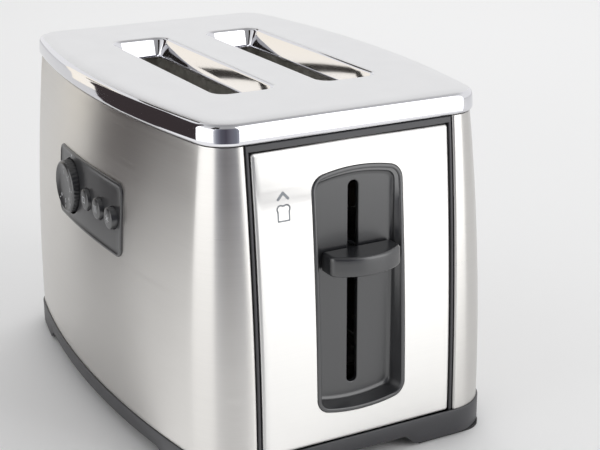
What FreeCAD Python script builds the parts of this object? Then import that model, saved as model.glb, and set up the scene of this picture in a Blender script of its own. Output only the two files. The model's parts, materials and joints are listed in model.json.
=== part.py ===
"""Pop up toaster with two long bread slots, its lever on one end.

Frame: origin on the table, below the middle of the housing. +X points to the
lever end, -Y is the long side with the controls, +Z is up. Millimetres.
"""
import FreeCAD, Part
import math
import os
import Sketcher

# ---------------------------------------------------------------- driving sizes
SIZES = {
    # housing, heights above the table
    "top_height": 188.4,
    "rim_bottom": 177.3,
    "panel_top": 172.5,
    "base_top": 15.9,
    "base_bottom": 7.2,
    "pad_height": 1.5,
    "base_floor": 4.0,
    # housing, plan
    "half_length": 128.4,
    "half_width": 87.0,
    "side_bow": 620.0,
    "corner": 16.0,
    "spread_middle": 6.9,
    "spread_base": 9.1,
    "rim_proud": 1.5,
    "base_proud": 0.9,
    "rim_edge": 2.4,
    "skin": 0.8,
    "frame_depth": 3.8,
    "cover_wall": 1.0,
    "foot_wall": 14.0,
    "foot_start_x": 92.0,
    "foot_start_y": 36.0,
    "pad_inset": 2.0,
    # end panels
    "panel_half_width": 55.5,
    "shell_edge": 58.3,
    "frame_half_width": 60.4,
    "gap": 0.3,
    # bread slots and toasting chambers
    "slot_half_length": 73.0,
    "slot_half_width": 15.0,
    "slot_centre": 30.1,
    "slot_corner": 5.0,
    "collar_wall": 0.8,
    "liner_gap": 1.0,
    "liner_wall": 0.5,
    "liner_bottom": 152.0,
    "bulkhead": 78.0,
    "bulkhead_half_width": 64.0,
    "bulkhead_top": 174.0,
    "sheet": 0.8,
    "tray_notch": 57.0,
    "tray_notch_top": 25.5,
    "rail_slot_half": 3.0,
    "rail_slot_bottom": 26.5,
    "rail_slot_top": 132.0,
    "reflector": 62.0,
    "reflector_wall": 0.6,
    "card": 56.0,
    "card_half": 0.5,
    "card_bottom": 34.0,
    "card_top": 146.0,
    "ribbon_half_length": 70.0,
    "ribbon": 0.6,
    "ribbon_height": 1.5,
    "ribbon_pitch": 12.0,
    # bread guides
    "guide_offset": 15.5,
    "guide_pivot": 30.0,
    "guide_top": 148.0,
    "wire": 1.0,
    "loop_width": 20.0,
    "loop_pitch": 44.0,
    "guide_rod_end": 79.4,
    # lever recess
    "bezel_half_width": 25.7,
    "bezel_top": 159.2,
    "bezel_bottom": 29.7,
    "bezel_bow": 90.0,
    "bezel_corner": 8.0,
    "bezel_lip": 2.2,
    "bezel_proud": 0.6,
    "bezel_back": 126.6,
    "bezel_floor": 129.4,
    "lever_slot_half": 2.95,
    "lever_slot_bottom": 42.7,
    "lever_slot_top": 151.5,
    # lever, carriage and return spring
    "knob_back": 131.2,
    "knob_front": 148.0,
    "knob_side_front": 143.6,
    "knob_half_width": 19.3,
    "knob_bottom": 107.4,
    "knob_top": 117.7,
    "knob_edge": 2.0,
    "knob_corner": 3.5,
    "arm_half": 2.0,
    "arm_bottom": 108.5,
    "arm_top": 116.5,
    "rod_place": 100.0,
    "rod_radius": 3.0,
    "bush_radius": 6.0,
    "bush_clearance": 0.06,
    "bush_bottom": 104.0,
    "bush_top": 126.0,
    "plate_back": 88.0,
    "plate_wall": 1.6,
    "plate_half_width": 34.0,
    "plate_bottom": 92.0,
    "plate_top": 122.0,
    "bracket_bottom": 168.0,
    "bracket_wall": 2.0,
    "rail_half": 1.0,
    "rail_end": 70.0,
    "rail_height": 6.0,
    "finger_reach": 10.0,
    "finger_pitch": 28.0,
    "spring_x": 96.0,
    "spring_y": 16.0,
    "spring_radius": 3.0,
    "spring_wire": 0.5,
    "spring_turns": 18.0,
    # latch and power switch
    "latch_x": 117.0,
    "latch_y": 22.0,
    "latch_top": 44.0,
    "armature": 2.0,
    "switch_top": 52.0,
    # controls
    "control_half_length": 48.0,
    "control_bottom": 100.0,
    "control_top": 140.0,
    "control_middle": 120.0,
    "control_back": 86.5,
    "control_proud": 1.0,
    "dial_x": 26.0,
    "dial_radius": 15.0,
    "dial_front": 96.9,
    "dial_back": 90.2,
    "well_radius": 16.0,
    "well_floor": 89.8,
    "shaft_radius": 3.0,
    "shaft_end": 79.8,
    "pot_radius": 8.0,
    "board_front": 72.0,
    "board_wall": 1.6,
    "button_radius": 6.0,
    "button_front": 95.3,
    "button_back": 82.0,
    "button_flange": 7.2,
    "switch_face": 79.2,
    # crumb tray
    "tray_half_width": 52.0,
    "tray_bottom": 16.8,
    "tray_top": 23.2,
    "tray_rear": 132.4,
    "tray_front": 76.0,
    "handle_rear": 138.2,
    "handle_top": 24.6,
    "handle_half_width": 53.4,
    "tray_door_half_width": 54.0,
    "tray_door_top": 25.2,
    # mains cord gland, with no cord in it
    "gland_y": 38.0,
    "gland_z": 42.0,
    "gland_bore": 3.6,
    "gland_nose": 148.0,
    "gland_inner": 130.0,
    # boards at the rear
    "main_board": 88.4,
    "main_board_half_width": 52.0,
    # screws
    "screw_radius": 1.9,
    "screw_head": 3.8,
}

BUTTONS = {"cancel_button": 2.0, "reheat_button": 20.0, "defrost_button": 38.0}
SCREW_PLACES = [(x, y) for x in (-98.0, 0.0, 98.0) for y in (-60.0, 60.0)]
RIBBONS = 9

doc = FreeCAD.newDocument("pop_up_toaster")
sheet = doc.addObject("Spreadsheet::Sheet", "Sizes")
for row, (alias, number) in enumerate(SIZES.items(), start=1):
    sheet.set(f"A{row}", alias)
    sheet.set(f"B{row}", str(number))
    sheet.setAlias(f"B{row}", alias)
doc.recompute()

nodes = {}


class Dim:
    """A size that knows its number and the formula that gives it from the sheet."""

    def __init__(self, value, text):
        self.value = value
        self.text = text

    def __add__(self, other):
        other = dim(other)
        return Dim(self.value + other.value, f"({self.text} + {other.text})")

    def __sub__(self, other):
        other = dim(other)
        return Dim(self.value - other.value, f"({self.text} - {other.text})")

    def __mul__(self, number):
        return Dim(self.value * number, f"({self.text} * {number})")

    def __neg__(self):
        return Dim(-self.value, f"(0 - {self.text})")


def dim(size):
    """A Dim from an alias of the sheet, a number or another Dim."""
    if isinstance(size, Dim):
        return size
    if isinstance(size, str):
        return Dim(float(sheet.get(size)), f"Sizes.{size}")
    return Dim(float(size), f"({float(size)})")


def bind(thing, prop, size):
    thing.setExpression(prop, dim(size).text)


# ---------------------------------------------------------------- primitives and booleans
def block(name, x, y, z):
    """A box given by its low and high size on each axis."""
    box = doc.addObject("Part::Box", name)
    for axis, prop, (low, high) in zip("xyz", ("Length", "Width", "Height"), (x, y, z)):
        bind(box, prop, dim(high) - low)
        bind(box, f"Placement.Base.{axis}", low)
    return box


def rod(name, axis, radius, low, high, across):
    """A cylinder along an axis from low to high; across gives its other two places in order."""
    bar = doc.addObject("Part::Cylinder", name)
    bind(bar, "Radius", radius)
    bind(bar, "Height", dim(high) - low)
    turns = {"x": FreeCAD.Rotation(FreeCAD.Vector(0, 1, 0), 90),
             "y": FreeCAD.Rotation(FreeCAD.Vector(1, 0, 0), -90),
             "z": FreeCAD.Rotation()}
    bar.Placement = FreeCAD.Placement(FreeCAD.Vector(), turns[axis])
    bind(bar, f"Placement.Base.{axis}", low)
    for other, place in zip("xyz".replace(axis, ""), across):
        bind(bar, f"Placement.Base.{other}", place)
    return bar


def join(name, pieces):
    fused = doc.addObject("Part::MultiFuse", name)
    fused.Shapes = pieces
    return fused


def cut(name, base, tool):
    result = doc.addObject("Part::Cut", name)
    result.Base = base
    result.Tool = tool
    return result


def overlap(name, first, second):
    result = doc.addObject("Part::MultiCommon", name)
    result.Shapes = [first, second]
    return result


def ring(name, axis, outer, inner, low, high, across):
    """A cylinder with a bore."""
    return cut(name, rod(name + "_outside", axis, outer, low, high, across),
               rod(name + "_bore", axis, inner, dim(low) - 1, dim(high) + 1, across))


def keep(name, shape):
    """Name a finished piece as a node."""
    shape.Label = name
    nodes[name] = shape
    return shape


# ---------------------------------------------------------------- sketched bodies
def new_body(name):
    return doc.addObject("PartDesign::Body", name)


def sketch_in(body, name, role, offset=0):
    """An empty sketch on one of the body's origin planes, moved along its normal."""
    sketch = body.newObject("Sketcher::SketchObject", name)
    plane = [item for item in body.Origin.OriginFeatures if item.Role == role][0]
    sketch.AttachmentSupport = [(plane, "")]
    sketch.MapMode = "FlatFace"
    bind(sketch, "AttachmentOffset.Base.z", offset)
    return sketch


def constrain(sketch, kind, *where, size):
    """A dimension of a sketch, driven by the sheet."""
    size = dim(size)
    index = sketch.addConstraint(Sketcher.Constraint(kind, *where, size.value))
    sketch.setExpression(f"Constraints[{index}]", size.text)


def arc(centre, radius, start, end):
    circle = Part.Circle(FreeCAD.Vector(*centre, 0), FreeCAD.Vector(0, 0, 1), radius)
    return Part.ArcOfCircle(circle, start, end)


def line(start, end):
    return Part.LineSegment(FreeCAD.Vector(*start, 0), FreeCAD.Vector(*end, 0))


def close_smoothly(sketch, count):
    """Join each edge's end to the next edge's start, tangent."""
    for edge in range(count):
        sketch.addConstraint(Sketcher.Constraint("Tangent", edge, 2, (edge + 1) % count, 1))


def bowed_outline(sketch, half_span, low, high, bow, corner):
    """Two straight sides at half_span each side, closed by two arcs that bulge to low and high."""
    half_span, low, high, bow, corner = (dim(size) for size in (half_span, low, high, bow, corner))
    inner = half_span.value - corner.value
    rise = math.sqrt((bow.value - corner.value) ** 2 - inner ** 2)
    top_centre = high.value - bow.value
    low_centre = low.value + bow.value
    upper = top_centre + rise
    lower = low_centre - rise
    lean = math.atan2(rise, inner)
    span = half_span.value
    turn = math.pi
    sketch.addGeometry([
        line((span, lower), (span, upper)),
        arc((inner, upper), corner.value, 0, lean),
        arc((0, top_centre), bow.value, lean, turn - lean),
        arc((-inner, upper), corner.value, turn - lean, turn),
        line((-span, upper), (-span, lower)),
        arc((-inner, lower), corner.value, turn, turn + lean),
        arc((0, low_centre), bow.value, turn + lean, 2 * turn - lean),
        arc((inner, lower), corner.value, 2 * turn - lean, 2 * turn),
    ], False)
    close_smoothly(sketch, 8)
    for edge, side in ((0, half_span), (4, -half_span)):
        sketch.addConstraint(Sketcher.Constraint("Vertical", edge))
        constrain(sketch, "DistanceX", -1, 1, edge, 1, size=side)
    for edge, centre in ((2, high - bow), (6, low + bow)):
        sketch.addConstraint(Sketcher.Constraint("PointOnObject", edge, 3, -2))
        constrain(sketch, "DistanceY", -1, 1, edge, 3, size=centre)
        constrain(sketch, "Radius", edge, size=bow)
    for edge in (1, 3, 5, 7):
        constrain(sketch, "Radius", edge, size=corner)


def rounded_rectangle(sketch, across, up, corner):
    """A rectangle from across[0] to across[1] and up[0] to up[1] with round corners."""
    left, right = (dim(size) for size in across)
    low, high = (dim(size) for size in up)
    corner = dim(corner)
    radius = corner.value
    inner = (left.value + radius, right.value - radius, low.value + radius, high.value - radius)
    quarter = math.pi / 2
    sketch.addGeometry([
        line((right.value, inner[2]), (right.value, inner[3])),
        arc((inner[1], inner[3]), radius, 0, quarter),
        line((inner[1], high.value), (inner[0], high.value)),
        arc((inner[0], inner[3]), radius, quarter, 2 * quarter),
        line((left.value, inner[3]), (left.value, inner[2])),
        arc((inner[0], inner[2]), radius, 2 * quarter, 3 * quarter),
        line((inner[0], low.value), (inner[1], low.value)),
        arc((inner[1], inner[2]), radius, 3 * quarter, 4 * quarter),
    ], False)
    close_smoothly(sketch, 8)
    for edge, direction, kind, side in ((0, "Vertical", "DistanceX", right), (2, "Horizontal", "DistanceY", high),
                                        (4, "Vertical", "DistanceX", left), (6, "Horizontal", "DistanceY", low)):
        sketch.addConstraint(Sketcher.Constraint(direction, edge))
        constrain(sketch, kind, -1, 1, edge, 1, size=side)
    for edge in (1, 3, 5, 7):
        constrain(sketch, "Radius", edge, size=corner)


def polygon(sketch, points):
    """A closed outline of straight lines through points given as sizes."""
    points = [(dim(across), dim(up)) for across, up in points]
    count = len(points)
    for start, end in zip(points, points[1:] + points[:1]):
        sketch.addGeometry(line((start[0].value, start[1].value), (end[0].value, end[1].value)), False)
    for index, (across, up) in enumerate(points):
        sketch.addConstraint(Sketcher.Constraint("Coincident", index, 1, (index - 1) % count, 2))
        constrain(sketch, "DistanceX", -1, 1, index, 1, size=across)
        constrain(sketch, "DistanceY", -1, 1, index, 1, size=up)


def pad(body, name, sketch, length, backwards=False):
    feature = body.newObject("PartDesign::Pad", name)
    feature.Profile = sketch
    feature.Reversed = backwards
    bind(feature, "Length", length)
    return feature


def pocket(body, name, sketch, length, backwards=False):
    feature = body.newObject("PartDesign::Pocket", name)
    feature.Profile = sketch
    feature.Reversed = backwards
    bind(feature, "Length", length)
    return feature


def turned(name, profile, place):
    """A body turned about its own Y axis; profile gives (radius, y), place gives x and z."""
    body = new_body(name)
    sketch = sketch_in(body, name + "_profile", "XY_Plane")
    polygon(sketch, profile)
    feature = body.newObject("PartDesign::Revolution", name + "_turned")
    feature.Profile = sketch
    feature.ReferenceAxis = (sketch, ["V_Axis"])
    feature.Angle = 360
    bind(body, "Placement.Base.x", place[0])
    bind(body, "Placement.Base.z", place[1])
    return body


# ---------------------------------------------------------------- the flared housing form
def plan(sketch, inset, spread):
    """The housing seen from above, spread outwards and then inset all round."""
    outwards = dim(spread) - inset
    bowed_outline(sketch, dim("half_length") + outwards, -(dim("half_width") + outwards),
                  dim("half_width") + outwards, dim("side_bow") - inset, dim("corner") - inset)


def housing_form(name, inset):
    """The solid that the walls are cut from: its sides flare outwards on their way down."""
    body = new_body(name)
    middle = (dim("base_top") + "rim_bottom") * 0.5
    levels = ((dim("base_top"), "spread_base"), (middle, "spread_middle"), (dim("rim_bottom"), 0))
    sections = []
    for index, (height, spread) in enumerate(levels):
        section = sketch_in(body, f"{name}_level_{index}", "XY_Plane", height)
        plan(section, inset, spread)
        sections.append(section)
    loft = body.newObject("PartDesign::AdditiveLoft", name + "_loft")
    loft.Profile = sections[0]
    loft.Sections = sections[1:]
    return body


FAR = 200.0
outside = housing_form("outside_form", 0)
behind_skin = housing_form("behind_skin_form", "skin")
behind_frame = housing_form("behind_frame_form", "frame_depth")
skin_wall = cut("skin_wall", outside, behind_skin)
frame_wall = cut("frame_wall", behind_skin, behind_frame)


def bezel_prism(name, grow, start, length):
    """The lever recess's outline, grown all round, run along X from start."""
    body = new_body(name)
    sketch = sketch_in(body, name + "_outline", "YZ_Plane", start)
    bowed_outline(sketch, dim("bezel_half_width") + grow, dim("bezel_bottom") - grow,
                  dim("bezel_top") + grow, dim("bezel_bow") + grow, dim("bezel_corner") + grow)
    pad(body, name + "_run", sketch, length)
    return body


# ---------------------------------------------------------------- base, feet and pads
def make_base():
    body = new_body("base")
    spread = dim("spread_base") + "base_proud"
    outline = sketch_in(body, "base_outline", "XY_Plane", "base_bottom")
    plan(outline, 0, spread)
    pad(body, "base_block", outline, dim("base_top") - "base_bottom")
    inside = sketch_in(body, "base_inside", "XY_Plane", "base_top")
    plan(inside, "frame_depth", "spread_base")
    pocket(body, "base_hollow", inside, dim("base_top") - "base_bottom" - "base_floor")
    holes = [rod(f"base_hole_{index}", "z", dim("screw_radius") + "gap", 0, "base_top", place)
             for index, place in enumerate(SCREW_PLACES)]
    keep("base", cut("base_drilled", body, join("base_holes", holes)))


def corner_ring(name, inset, low, high):
    """Four corner pieces of a wall that follows the base's outline."""
    body = new_body(name + "_ring")
    spread = dim("spread_base") + "base_proud"
    outline = sketch_in(body, name + "_outline", "XY_Plane", low)
    plan(outline, inset, spread)
    pad(body, name + "_block", outline, dim(high) - low)
    inside = sketch_in(body, name + "_inside", "XY_Plane", high)
    plan(inside, dim("foot_wall") - inset, spread)
    pocket(body, name + "_hollow", inside, dim(high) - low)
    corners = []
    for x_side, y_side in ((1, 1), (1, -1), (-1, 1), (-1, -1)):
        x_range = sorted((dim("foot_start_x") * x_side + dim(inset) * x_side, dim(FAR * x_side)),
                         key=lambda size: size.value)
        y_range = sorted((dim("foot_start_y") * y_side + dim(inset) * y_side, dim(FAR * y_side)),
                         key=lambda size: size.value)
        corners.append(block(f"{name}_corner_{len(corners)}", x_range, y_range, (low, high)))
    keep(name, overlap(name + "_solids", body, join(name + "_corners", corners)))


def make_screws():
    solids = []
    for index, place in enumerate(SCREW_PLACES):
        solids.append(rod(f"screw_shank_{index}", "z", "screw_radius", "base_bottom", "base_top", place))
        solids.append(rod(f"screw_head_{index}", "z", "screw_head", dim("base_bottom") - 2, "base_bottom", place))
    keep("base_screws", join("screws", solids))


# ---------------------------------------------------------------- shells, end frames and end panels
def make_side_shells():
    for name, low, high in (("side_shell_front", -FAR, -dim("shell_edge")),
                            ("side_shell_back", dim("shell_edge"), FAR)):
        zone = block(name + "_zone", (-FAR, FAR), (low, high), (0, FAR))
        shell = overlap(name + "_skin", skin_wall, zone)
        if name == "side_shell_front":
            window = block("control_window", (-dim("control_half_length") - "gap", dim("control_half_length") + "gap"),
                           (-FAR, 0), (dim("control_bottom") - "gap", dim("control_top") + "gap"))
            shell = cut(name + "_opened", shell, window)
        keep(name, shell)


def make_lever_end():
    frame_zone = block("lever_frame_zone", (0, FAR), (-dim("frame_half_width"), "frame_half_width"), (0, FAR))
    panel_zone = block("lever_panel_zone", (0, FAR), (-dim("panel_half_width"), "panel_half_width"),
                       (0, "panel_top"))
    opening = bezel_prism("lever_opening", "gap", 100, 60)
    keep("lever_end_frame", cut("lever_frame", overlap("lever_frame_wall", frame_wall, frame_zone), opening))
    keep("lever_end_panel", cut("lever_panel", overlap("lever_panel_skin", skin_wall, panel_zone), opening))


def make_rear_end():
    frame_zone = block("rear_frame_zone", (-FAR, 0), (-dim("frame_half_width"), "frame_half_width"), (0, FAR))
    panel_zone = block("rear_panel_zone", (-FAR, 0), (-dim("panel_half_width"), "panel_half_width"),
                       (0, "panel_top"))
    tray_door = block("tray_door", (-FAR, 0), (-dim("tray_door_half_width"), "tray_door_half_width"),
                      (0, "tray_door_top"))
    cord_hole = rod("cord_hole", "x", 7.1, -FAR, 0, ("gland_y", "gland_z"))
    openings = join("rear_openings", [tray_door, cord_hole])
    keep("rear_end_frame", cut("rear_frame", overlap("rear_frame_wall", frame_wall, frame_zone), openings))
    keep("rear_end_panel", cut("rear_panel", overlap("rear_panel_skin", skin_wall, panel_zone), openings))


def make_lever_bezel():
    """A dished moulding: its lip follows the flared panel, its floor is upright."""
    raised = new_body("raised_form")
    outline = sketch_in(raised, "raised_base", "XY_Plane", "base_top")
    plan(outline, 0, dim("spread_base") + "bezel_proud")
    middle = sketch_in(raised, "raised_middle", "XY_Plane", (dim("base_top") + "rim_bottom") * 0.5)
    plan(middle, 0, dim("spread_middle") + "bezel_proud")
    top = sketch_in(raised, "raised_top", "XY_Plane", "rim_bottom")
    plan(top, 0, "bezel_proud")
    loft = raised.newObject("PartDesign::AdditiveLoft", "raised_loft")
    loft.Profile = outline
    loft.Sections = [middle, top]
    solid = overlap("bezel_solid", bezel_prism("bezel_block", 0, "bezel_back", 40), raised)
    dish = bezel_prism("bezel_dish", -dim("bezel_lip"), "bezel_floor", 40)
    slot = block("lever_slot", (100, FAR), (-dim("lever_slot_half"), "lever_slot_half"),
                 ("lever_slot_bottom", "lever_slot_top"))
    keep("lever_bezel", cut("bezel", solid, join("bezel_cuts", [dish, slot])))


# ---------------------------------------------------------------- polished top cover
def slot_sketch(body, name, side, grow, height):
    sketch = sketch_in(body, name, "XY_Plane", height)
    centre = dim("slot_centre") * side
    reach = dim("slot_half_width") + grow
    length = dim("slot_half_length") + grow
    rounded_rectangle(sketch, (-length, length), (centre - reach, centre + reach), dim("slot_corner") + grow)
    return sketch


def make_top_cover():
    body = new_body("top_cover")
    outline = sketch_in(body, "cover_outline", "XY_Plane", "rim_bottom")
    plan(outline, 0, "rim_proud")
    cover = pad(body, "cover_block", outline, dim("top_height") - "rim_bottom")
    doc.recompute()
    top_edges = [f"Edge{index}" for index, edge in enumerate(cover.Shape.Edges, start=1)
                 if edge.BoundBox.ZMin > dim("top_height").value - 0.01]
    rounded = body.newObject("PartDesign::Fillet", "cover_edge")
    rounded.Base = (cover, top_edges)
    bind(rounded, "Radius", "rim_edge")
    inside = sketch_in(body, "cover_inside", "XY_Plane", "rim_bottom")
    plan(inside, "rim_edge", "rim_proud")
    pocket(body, "cover_hollow", inside, dim("top_height") - "rim_bottom" - "cover_wall", backwards=True)
    for name, side in (("front", -1), ("back", 1)):
        collar = slot_sketch(body, f"collar_{name}", side, "collar_wall", "rim_bottom")
        pad(body, f"collar_{name}_block", collar, dim("top_height") - "rim_bottom" - "cover_wall")
        slot = slot_sketch(body, f"slot_{name}", side, 0, "top_height")
        pocket(body, f"slot_{name}_cut", slot, dim("top_height") - "rim_bottom")
    keep("top_cover", body)


# ---------------------------------------------------------------- toasting chambers
def make_chambers():
    for name, side in (("front", -1), ("back", 1)):
        body = new_body(f"slot_liner_{name}")
        grow = dim("liner_gap") + "liner_wall"
        outer = slot_sketch(body, f"liner_{name}_outer", side, grow, "liner_bottom")
        pad(body, f"liner_{name}_block", outer, dim("rim_bottom") - "liner_bottom")
        inner = slot_sketch(body, f"liner_{name}_inner", side, "liner_gap", "rim_bottom")
        pocket(body, f"liner_{name}_cut", inner, dim("rim_bottom") - "liner_bottom")
        keep(f"slot_liner_{name}", body)

        wall = sorted((dim("reflector") * side, (dim("reflector") + "reflector_wall") * side),
                      key=lambda size: size.value)
        keep(f"reflector_{name}", block(f"reflector_{name}_sheet", (-dim("bulkhead"), "bulkhead"), wall,
                                        ("tray_notch_top", "bulkhead_top")))

    for name, place in (("front", -dim("card")), ("centre", dim(0)), ("back", dim("card"))):
        keep(f"heater_card_{name}", block(f"card_{name}", (-dim("bulkhead"), "bulkhead"),
                                          (place - "card_half", place + "card_half"), ("card_bottom", "card_top")))
        sides = {"front": (1,), "centre": (-1, 1), "back": (-1,)}[name]
        ribbons = []
        for side in sides:
            near = place + dim("card_half") * side
            faces = sorted((near, near + dim("ribbon") * side), key=lambda size: size.value)
            for index in range(RIBBONS):
                low = dim("card_bottom") + 7 + dim("ribbon_pitch") * index
                ribbons.append(block(f"ribbon_{name}_{len(ribbons)}",
                                     (-dim("ribbon_half_length"), "ribbon_half_length"),
                                     faces, (low, low + "ribbon_height")))
        keep(f"heater_winding_{name}", join(f"winding_{name}", ribbons))


def guide_places():
    """Each bread guide's name, its pivot's y and the side of the slot's centre it stands on."""
    for name, slot_side in (("front", -1), ("back", 1)):
        for where, side in (("outer", slot_side), ("inner", -slot_side)):
            yield f"bread_guide_{name}_{where}", dim("slot_centre") * slot_side + dim("guide_offset") * side


def make_bulkheads():
    pivots = [rod(f"pivot_{name}", "x", dim("wire") + "gap", -FAR, FAR, (place, "guide_pivot"))
              for name, place in guide_places()]
    notch = block("tray_notch_cut", (-FAR, FAR), (-dim("tray_notch"), "tray_notch"), (0, "tray_notch_top"))
    slots = [block(f"rail_slot_{index}", (0, FAR),
                   (dim("slot_centre") * side - "rail_slot_half", dim("slot_centre") * side + "rail_slot_half"),
                   ("rail_slot_bottom", "rail_slot_top")) for index, side in enumerate((-1, 1))]
    cuts = join("bulkhead_cuts", pivots + slots + [notch])
    inner = dim("bulkhead")
    outer = dim("bulkhead") + "sheet"
    floor = dim("base_bottom") + "base_floor"
    for name, x_range in (("lever_bulkhead", (inner, outer)), ("rear_bulkhead", (-outer, -inner))):
        plate = block(name + "_plate", x_range, (-dim("bulkhead_half_width"), "bulkhead_half_width"),
                      (floor, "bulkhead_top"))
        keep(name, cut(name + "_cut", plate, cuts))


def make_bread_guides():
    """Bent wire guides: a pivot wire along the chamber with tall hoops standing on it."""
    for name, place in guide_places():
        wires = [rod(name + "_pivot", "x", "wire", -dim("guide_rod_end"), "guide_rod_end", (place, "guide_pivot"))]
        for hoop in range(-1, 3):
            centre = dim("loop_pitch") * (hoop - 0.5)
            left = centre - dim("loop_width") * 0.5
            right = centre + dim("loop_width") * 0.5
            for leg, x in enumerate((left, right)):
                wires.append(rod(f"{name}_leg_{hoop + 1}_{leg}", "z", "wire", "guide_pivot", "guide_top", (x, place)))
            wires.append(rod(f"{name}_top_{hoop + 1}", "x", "wire", left - "wire", right + "wire",
                             (place, "guide_top")))
        keep(name, join(name + "_wires", wires))


# ---------------------------------------------------------------- carriage, lever and latch
def make_carriage():
    plate_front = dim("plate_back") + "plate_wall"
    bush_back = dim("rod_place") - "bush_radius" + 1
    spring_y = -dim("spring_y")
    plate = block("carriage_sheet", ("plate_back", plate_front), (-dim("plate_half_width"), "plate_half_width"),
                  ("plate_bottom", "plate_top"))
    neck = block("carriage_neck", (plate_front, bush_back), (-4.0, 4.0), (dim("bush_bottom") + 2, "plate_top"))
    tab = block("spring_tab", (plate_front, dim("spring_x") + 4), (spring_y - 4, spring_y + 4),
                (dim("plate_top") - 2, "plate_top"))
    bush_room = rod("bush_room", "z", "bush_radius", 0, FAR, ("rod_place", 0))
    keep("carriage_plate", cut("carriage_cut", join("carriage_solids", [plate, neck, tab]), bush_room))
    keep("carriage_bush", ring("bush", "z", "bush_radius", dim("rod_radius") + "bush_clearance",
                               "bush_bottom", "bush_top", ("rod_place", 0)))
    arm = block("arm_bar", ("rod_place", "knob_back"), (-dim("arm_half"), "arm_half"), ("arm_bottom", "arm_top"))
    keep("lever_arm", cut("arm_cut", arm, bush_room))
    for name, side in (("front", -1), ("back", 1)):
        centre = dim("slot_centre") * side
        rail = block(f"rail_{name}", (-dim("rail_end"), "plate_back"), (centre - "rail_half", centre + "rail_half"),
                     ("plate_bottom", dim("plate_bottom") + "rail_height"))
        fingers = [block(f"finger_{name}_{index}", (dim("finger_pitch") * (index - 2) - 2,
                                                    dim("finger_pitch") * (index - 2) + 2),
                         (centre - "finger_reach", centre + "finger_reach"),
                         (dim("plate_bottom") + "rail_height" - 1.5, dim("plate_bottom") + "rail_height"))
                   for index in range(5)]
        keep(f"bread_rack_{name}", join(f"rack_{name}", [rail] + fingers))


def make_lever_knob():
    """A finger bar with a bowed front and round ends."""
    body = new_body("lever_knob")
    sketch = sketch_in(body, "knob_plan", "XY_Plane", "knob_bottom")
    half = dim("knob_half_width")
    corner = dim("knob_corner")
    rise = dim("knob_front") - "knob_side_front"
    reach = half.value - corner.value
    bow = (reach ** 2 + rise.value ** 2) / (2 * rise.value)
    back = dim("knob_back").value
    side = dim("knob_side_front").value
    front = dim("knob_front").value
    middle = front - bow
    lean = math.atan2(half.value - corner.value, math.sqrt((bow - corner.value) ** 2
                                                           - (half.value - corner.value) ** 2))
    corner_x = middle + (bow - corner.value) * math.cos(lean)
    sketch.addGeometry([
        line((back, half.value), (back, -half.value)),
        line((back, -half.value), (corner_x, -half.value)),
        arc((corner_x, -reach), corner.value, -math.pi / 2, -lean),
        arc((middle, 0), bow, -lean, lean),
        arc((corner_x, reach), corner.value, lean, math.pi / 2),
        line((corner_x, half.value), (back, half.value)),
    ], False)
    for edge in (1, 2, 3, 4):
        sketch.addConstraint(Sketcher.Constraint("Tangent", edge, 2, edge + 1, 1))
    for edge, following in ((5, 0), (0, 1)):
        sketch.addConstraint(Sketcher.Constraint("Coincident", edge, 2, following, 1))
    sketch.addConstraint(Sketcher.Constraint("Vertical", 0))
    for edge in (1, 5):
        sketch.addConstraint(Sketcher.Constraint("Horizontal", edge))
    constrain(sketch, "DistanceX", -1, 1, 0, 1, size="knob_back")
    constrain(sketch, "DistanceY", -1, 1, 0, 1, size=half)
    constrain(sketch, "DistanceY", -1, 1, 0, 2, size=-half)
    for edge in (2, 4):
        constrain(sketch, "Radius", edge, size=corner)
    sketch.addConstraint(Sketcher.Constraint("PointOnObject", 3, 3, -1))
    constrain(sketch, "Radius", 3, size=bow)
    constrain(sketch, "DistanceX", -1, 1, 3, 3, size=dim("knob_front") - bow)
    bar = pad(body, "knob_bar", sketch, dim("knob_top") - "knob_bottom")
    doc.recompute()
    edges = [f"Edge{index}" for index, edge in enumerate(bar.Shape.Edges, start=1)
             if edge.BoundBox.ZLength < 0.01 and edge.BoundBox.XMax > side - corner.value]
    rounded = body.newObject("PartDesign::Fillet", "knob_edges")
    rounded.Base = (bar, edges)
    bind(rounded, "Radius", "knob_edge")
    keep("lever_knob", body)


def make_spring():
    """The carriage's return spring, hung between the top bracket and the carriage's tab."""
    helix = doc.addObject("Part::Helix", "spring_path")
    low = dim("plate_top") + "spring_wire" + 0.2
    high = dim("bracket_bottom") - "spring_wire" - 0.2
    turns = dim("spring_turns")
    bind(helix, "Height", high - low)
    helix.setExpression("Pitch", f"({(high - low).text}) / {turns.text}")
    bind(helix, "Radius", "spring_radius")
    wire = doc.addObject("Part::Circle", "spring_section")
    bind(wire, "Radius", "spring_wire")
    wire.Placement = FreeCAD.Placement(FreeCAD.Vector(dim("spring_radius").value, 0, 0),
                                       FreeCAD.Rotation(FreeCAD.Vector(1, 0, 0), 90))
    doc.recompute()
    sweep = doc.addObject("Part::Sweep", "return_spring")
    sweep.Sections = [wire]
    sweep.Spine = (helix, [f"Edge{index + 1}" for index in range(len(helix.Shape.Edges))])
    sweep.Solid = True
    sweep.Frenet = True
    bind(sweep, "Placement.Base.x", "spring_x")
    bind(sweep, "Placement.Base.y", -dim("spring_y"))
    bind(sweep, "Placement.Base.z", low)
    keep("return_spring", sweep)


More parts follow.
